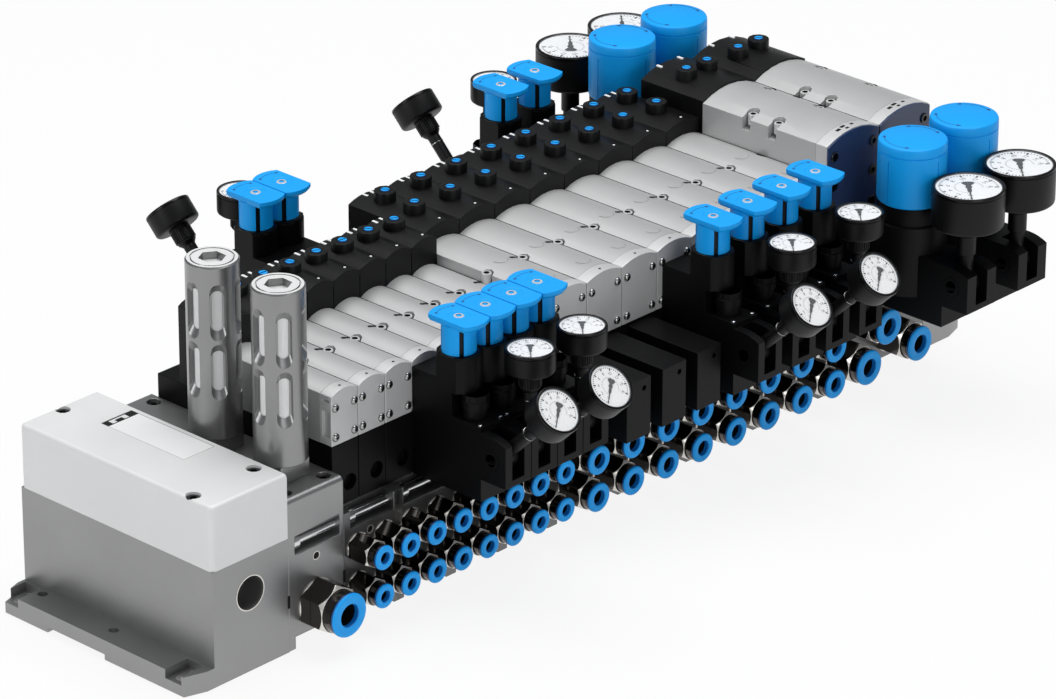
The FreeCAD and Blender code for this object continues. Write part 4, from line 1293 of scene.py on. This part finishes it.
# %% End cap screws and plates
button_insets = {"small": 2.7, "medium": 3.6}
button_low, button_drop = 101.6, 6.6
socket_heights, socket_shift = (106, 124, 141), 16
plate_bottom, plate_thickness = 97.3, 0.9
button_places, socket_places, vents = [], [], []
for solid in cap_solids:
    size = size_of(solid)
    top = side_tops[size] * mm
    if size == "large":
        places, shift = socket_places, socket_shift * mm
        heights = [z * mm for z in socket_heights]
    else:
        places, shift = button_places, solid.size.x / 2 - button_insets[size] * mm
        heights = [button_low * mm, top - button_drop * mm]
        vents.append(at(solid.x, solid.y - 0.6 * mm, solid.high.z))
    places += [facing_ports(solid.x + side * shift, solid.low.y, z) for side in (-1, 1) for z in heights]
steps = [(-0.2, 2.3), (0.5, 2.25), (1.0, 1.9), (1.4, 1.2), (1.4, 0.85), (1.3, 0.8), (0.6, 0.7)]
button = paint(turned("button", steps, 28), screw_steel)
# Painted shade: the socket of each button screw is painted black.
paint_where(button, mark_black, lambda normal, middle: middle.xy.length < 0.84 * mm)
seat(copies(button, "cap_screws", button_places))
# Painted shade: the vent hole is a thin black disc.
vent = turned("vent", [(-0.3, 0.75), (0.04, 0.75)], 18)
seat(copies(vent, "cap_vents", vents), mark_black)


def front_plate(solid):
    """The glossy plate in front of a large valve, with the arch of the cap."""
    half = solid.size.x / 2 / mm - 0.25
    crown = crowns["large"]
    radius = (half ** 2 + crown ** 2) / (2 * crown)
    reach = math.degrees(math.asin(half / radius))
    side_top = side_tops["large"] - 0.5
    arch = ring_points(radius, 15, 90 - reach, 90 + reach, 0, side_top + crown - radius)
    plate = pushed("plate", [(-half, plate_bottom), (half, plate_bottom)] + arch, 0, plate_thickness)
    soften(plate, 0.25, 2, 30)
    return moved(plate, facing_ports(solid.x, solid.low.y, 0))


plated = [solid for solid in cap_solids if size_of(solid) == "large"]
seat(join([front_plate(solid) for solid in plated], "large_cap_plates"), navy_gloss)
socket_screw = turned("socket", [(0.2, 2.9), (1.5, 2.9), (1.8, 2.6), (1.8, 1.55), (0.9, 1.5)], 32)
seat(copies(socket_screw, "large_cap_screws", socket_places), dark_steel)
top_marks = ((-7.0, 0.4, 2.8, 2.0), (-2.4, 1.4, 3.4, 1.6), (-2.0, -1.6, 2.0, 1.4), (4.2, 0.6, 2.2, 1.4))
large_marks = [moved(pushed("mark", box_points(width, length), -0.1, 0.05),
                     on_arch(solid, solid.x + shift * mm, solid.y + depth * mm))
               for solid in plated for shift, depth, width, length in top_marks]
seat(join(large_marks, "large_cap_marks"), mark_black)
print("cap screws:", len(button_places) + len(socket_places))

# %% [markdown]
# The screws that show are turned again with round heads. Long tie bolts lie in pockets along the
# sub-bases and pull the whole row together; only their bright heads and shanks can be seen.

# %% Screws and tie bolts
longest_head = 15.0
screw_solids = solids_of("screws")
tie_bolts = [solid for solid in screw_solids if solid.size.x > longest_head * mm]
heads = [solid for solid in screw_solids if solid.size.x < longest_head * mm]


def tie_bolt(solid):
    """A bolt from its head on the left to the end of its shank."""
    steps = [(0, 3.5), (0.4, 4.0), (4.3, 4.0), (4.5, 3.8), (4.5, 2.5), (solid.size.x / mm, 2.5)]
    return moved(turned("bolt", steps, 32), spun(90, "Y"), at(solid.low.x, solid.middle.y, solid.z))


def socket_head(solid):
    """A screw head with a hexagon socket."""
    radius, height = solid.size.x / 2 / mm - 0.1, solid.size.z / mm
    head = turned("head", [(-height, radius), (-0.3, radius), (0, radius - 0.3)], 40)
    cut(head, pushed("socket", ring_points(radius * 0.55, 6), -height * 0.8, 1))
    smooth(head)
    return moved(head, at(solid.middle.x, solid.y, solid.high.z))


bolts = join([tie_bolt(solid) for solid in tie_bolts], "tie_bolts")
seat(bolts, bolt_steel)
seat(join([socket_head(solid) for solid in heads], "plate_screws"), dark_steel)
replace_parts(bolts, "screws")
print("tie bolts:", len(tie_bolts), "heads:", len(heads))

# %% [markdown]
# The threaded holes in the sub-bases get a fine bright rim. The cover of the end block has a
# bare white label with a dark edge, held by a clip in a small recess at its back end. The cable
# hole is open, with a turned rim.

# %% Small holes, label and rim
label_x, label_y = -278.85, 9.55
label_width, label_length = 20.4, 59.6
label_depth = 0.4
recess_length = 5.2
cable_hole = (-292.4, 43.3)
seam_slot_height = 28
rim = turned("rim", [(-0.3, 2.4), (0.05, 2.4), (0.05, 2.0), (-0.3, 1.95)], 28, ring=True)
seat(copies(rim, "hole_rims", hole_places + supply_hole), pale_nickel)
label_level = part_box("end_block_cover")[1][2] - label_depth * mm
recess_y = label_y + label_length / 2 - recess_length / 2
clip_outline = [(-6.5, -1.9), (-3.5, -1.9), (-3.5, 0.6), (1.5, 0.6), (1.5, -1.9), (4.5, -1.9),
                (4.5, 1.7), (-6.5, 1.7)]
label = pushed("label", box_points(label_width, label_length), 0, 0.3)
soften(label, 0.12, 1)
edge = pushed("label_edge", box_points(label_width + 0.7, label_length + 0.7), 0, 0.24)
recess = pushed("recess", box_points(label_width, recess_length), 0.1, 0.33)
clip = pushed("clip", clip_outline, 0.2, 0.4)
for source, name, y, slot, material in (
        (edge, "label_edge", label_y, "black_plastic", mark_grey),
        (label, "bare_label", label_y, "dial_white", label_white),
        (recess, "clip_recess", recess_y, "black_plastic", mark_black),
        (clip, "label_clip", recess_y, "light_aluminium", cover_metal)):
    seat(copies(source, name, [at(label_x * mm, y * mm, label_level)]), material)
cable_rim = turned("cable_rim", [(-0.5, 9.75), (0.2, 9.6), (0.2, 9.05), (-1.2, 8.98)], 64, ring=True)
cable_place = facing_ports(cable_hole[0] * mm, port_face, cable_hole[1] * mm)
seat(copies(cable_rim, "cable_hole_rim", [cable_place]), pale_nickel)
# Painted shade: thin black patches stand in for the shade in two small slots at the seams.
seam_slot = pushed("seam_slot", box_points(1.8, 7.0), -0.3, 0.06)
seam_places = [facing_ports(end[0], port_face, seam_slot_height * mm)
               for end in (supply_high, supply_low)]
seat(copies(seam_slot, "seam_slots", seam_places), mark_black)
print("threaded holes:", len(hole_places) + len(supply_hole))

# %% [markdown]
# The round parts of the regulators are turned and set over the plain ones of the housing: the
# sleeve under a T handle, the plug in front of it, the column under a knob, and the knurled nut
# at the end of each swivel pin. Two bright screws hold each flange.

# %% Regulator details
fork_reach, large_fork_reach = 41.0, 50.3
widest_small = 22.0
sleeve_width = 18.62
plug_shift = 11.5
flange_screw_x, flange_screw_y = 7.3, 21.6
nut_height = 88.0
regulator_places, large_regulator_places = [], []
for solid in housing_solids:
    large = solid.size.x > widest_small * mm
    reach = (large_fork_reach if large else fork_reach) * mm
    behind = solid.high.y > 0.07
    y = solid.high.y - reach if behind else solid.low.y + reach
    place = at(solid.x, y, 0) @ spun(180 if behind else 0)
    (large_regulator_places if large else regulator_places).append(place)

steps = [(116.4, 10.9), (117.0, 11.52), (134.6, 11.52), (135.4, 11.1), (136.02, 10.2)]
sleeve = turned("sleeve", steps, 64)
cut(sleeve, pushed("sides", box_points(sleeve_width, 40), 100, 150), "INTERSECT")
soften(sleeve, 0.3, 2, 30)
steps = [(103.5, 6.3), (108.4, 6.2), (108.8, 7.1), (112.6, 7.1), (113.2, 6.6), (116.4, 6.6)]
plug = moved(turned("plug", steps, 40), at(0, -plug_shift * mm, 0))
collar = turned("collar", [(135.6, 9.9), (136.0, 9.9), (136.25, 9.5), (136.28, 8.0)], 48)
steps = [(75.0, 20.04), (113.4, 20.04), (114.2, 19.7), (114.55, 19.0), (114.6, 18.06),
         (123.6, 18.06), (124.2, 17.8), (124.42, 17.0)]
column = turned("column", steps, 80)
round_parts = [copies(sleeve, "sleeves", regulator_places), copies(plug, "plugs", regulator_places),
               copies(column, "columns", large_regulator_places)]
seat(join(round_parts, "round_housing_parts"), black_metal)
seat(copies(collar, "sleeve_collars", regulator_places), black_gloss)
flange_screw = turned("flange_screw", [(103.5, 1.25), (104.1, 1.25), (104.3, 0.9)], 20)
flange_screws = [place @ at(side * flange_screw_x * mm, -flange_screw_y * mm, 0)
                 for place in regulator_places for side in (-1, 1)]
seat(copies(flange_screw, "flange_screws", flange_screws), bolt_steel)


def knurled_nut(radius, teeth):
    """A flat knurled nut that stands just proud of a fork's side."""
    outline = []
    for i in range(teeth):
        middle = 360.0 * i / teeth
        outline += ring_points(radius, 2, middle - 2.6, middle + 2.6)
        outline += ring_points(radius - 0.8, 2, middle + 5.2, middle + 6.2)
    nut = pushed("nut", outline, -0.3, 0.17)
    inner = turned("inner", [(0.17, radius - 1.6), (0.2, radius - 1.8), (0.1, radius - 3.2)], 32)
    return join([nut, inner], "nut")


nut = moved(knurled_nut(5.6, 32), spun(-90, "Y"))
nut_places = [place @ at(-side * mm, -reach * mm, nut_height * mm)
              for places, side, reach in ((regulator_places, 9.3, 31.0),
                                          (large_regulator_places, 12.0, 39.0))
              for place in places]
seat(copies(nut, "swivel_nuts", nut_places), black_metal)
print("regulators:", len(regulator_places) + len(large_regulator_places))
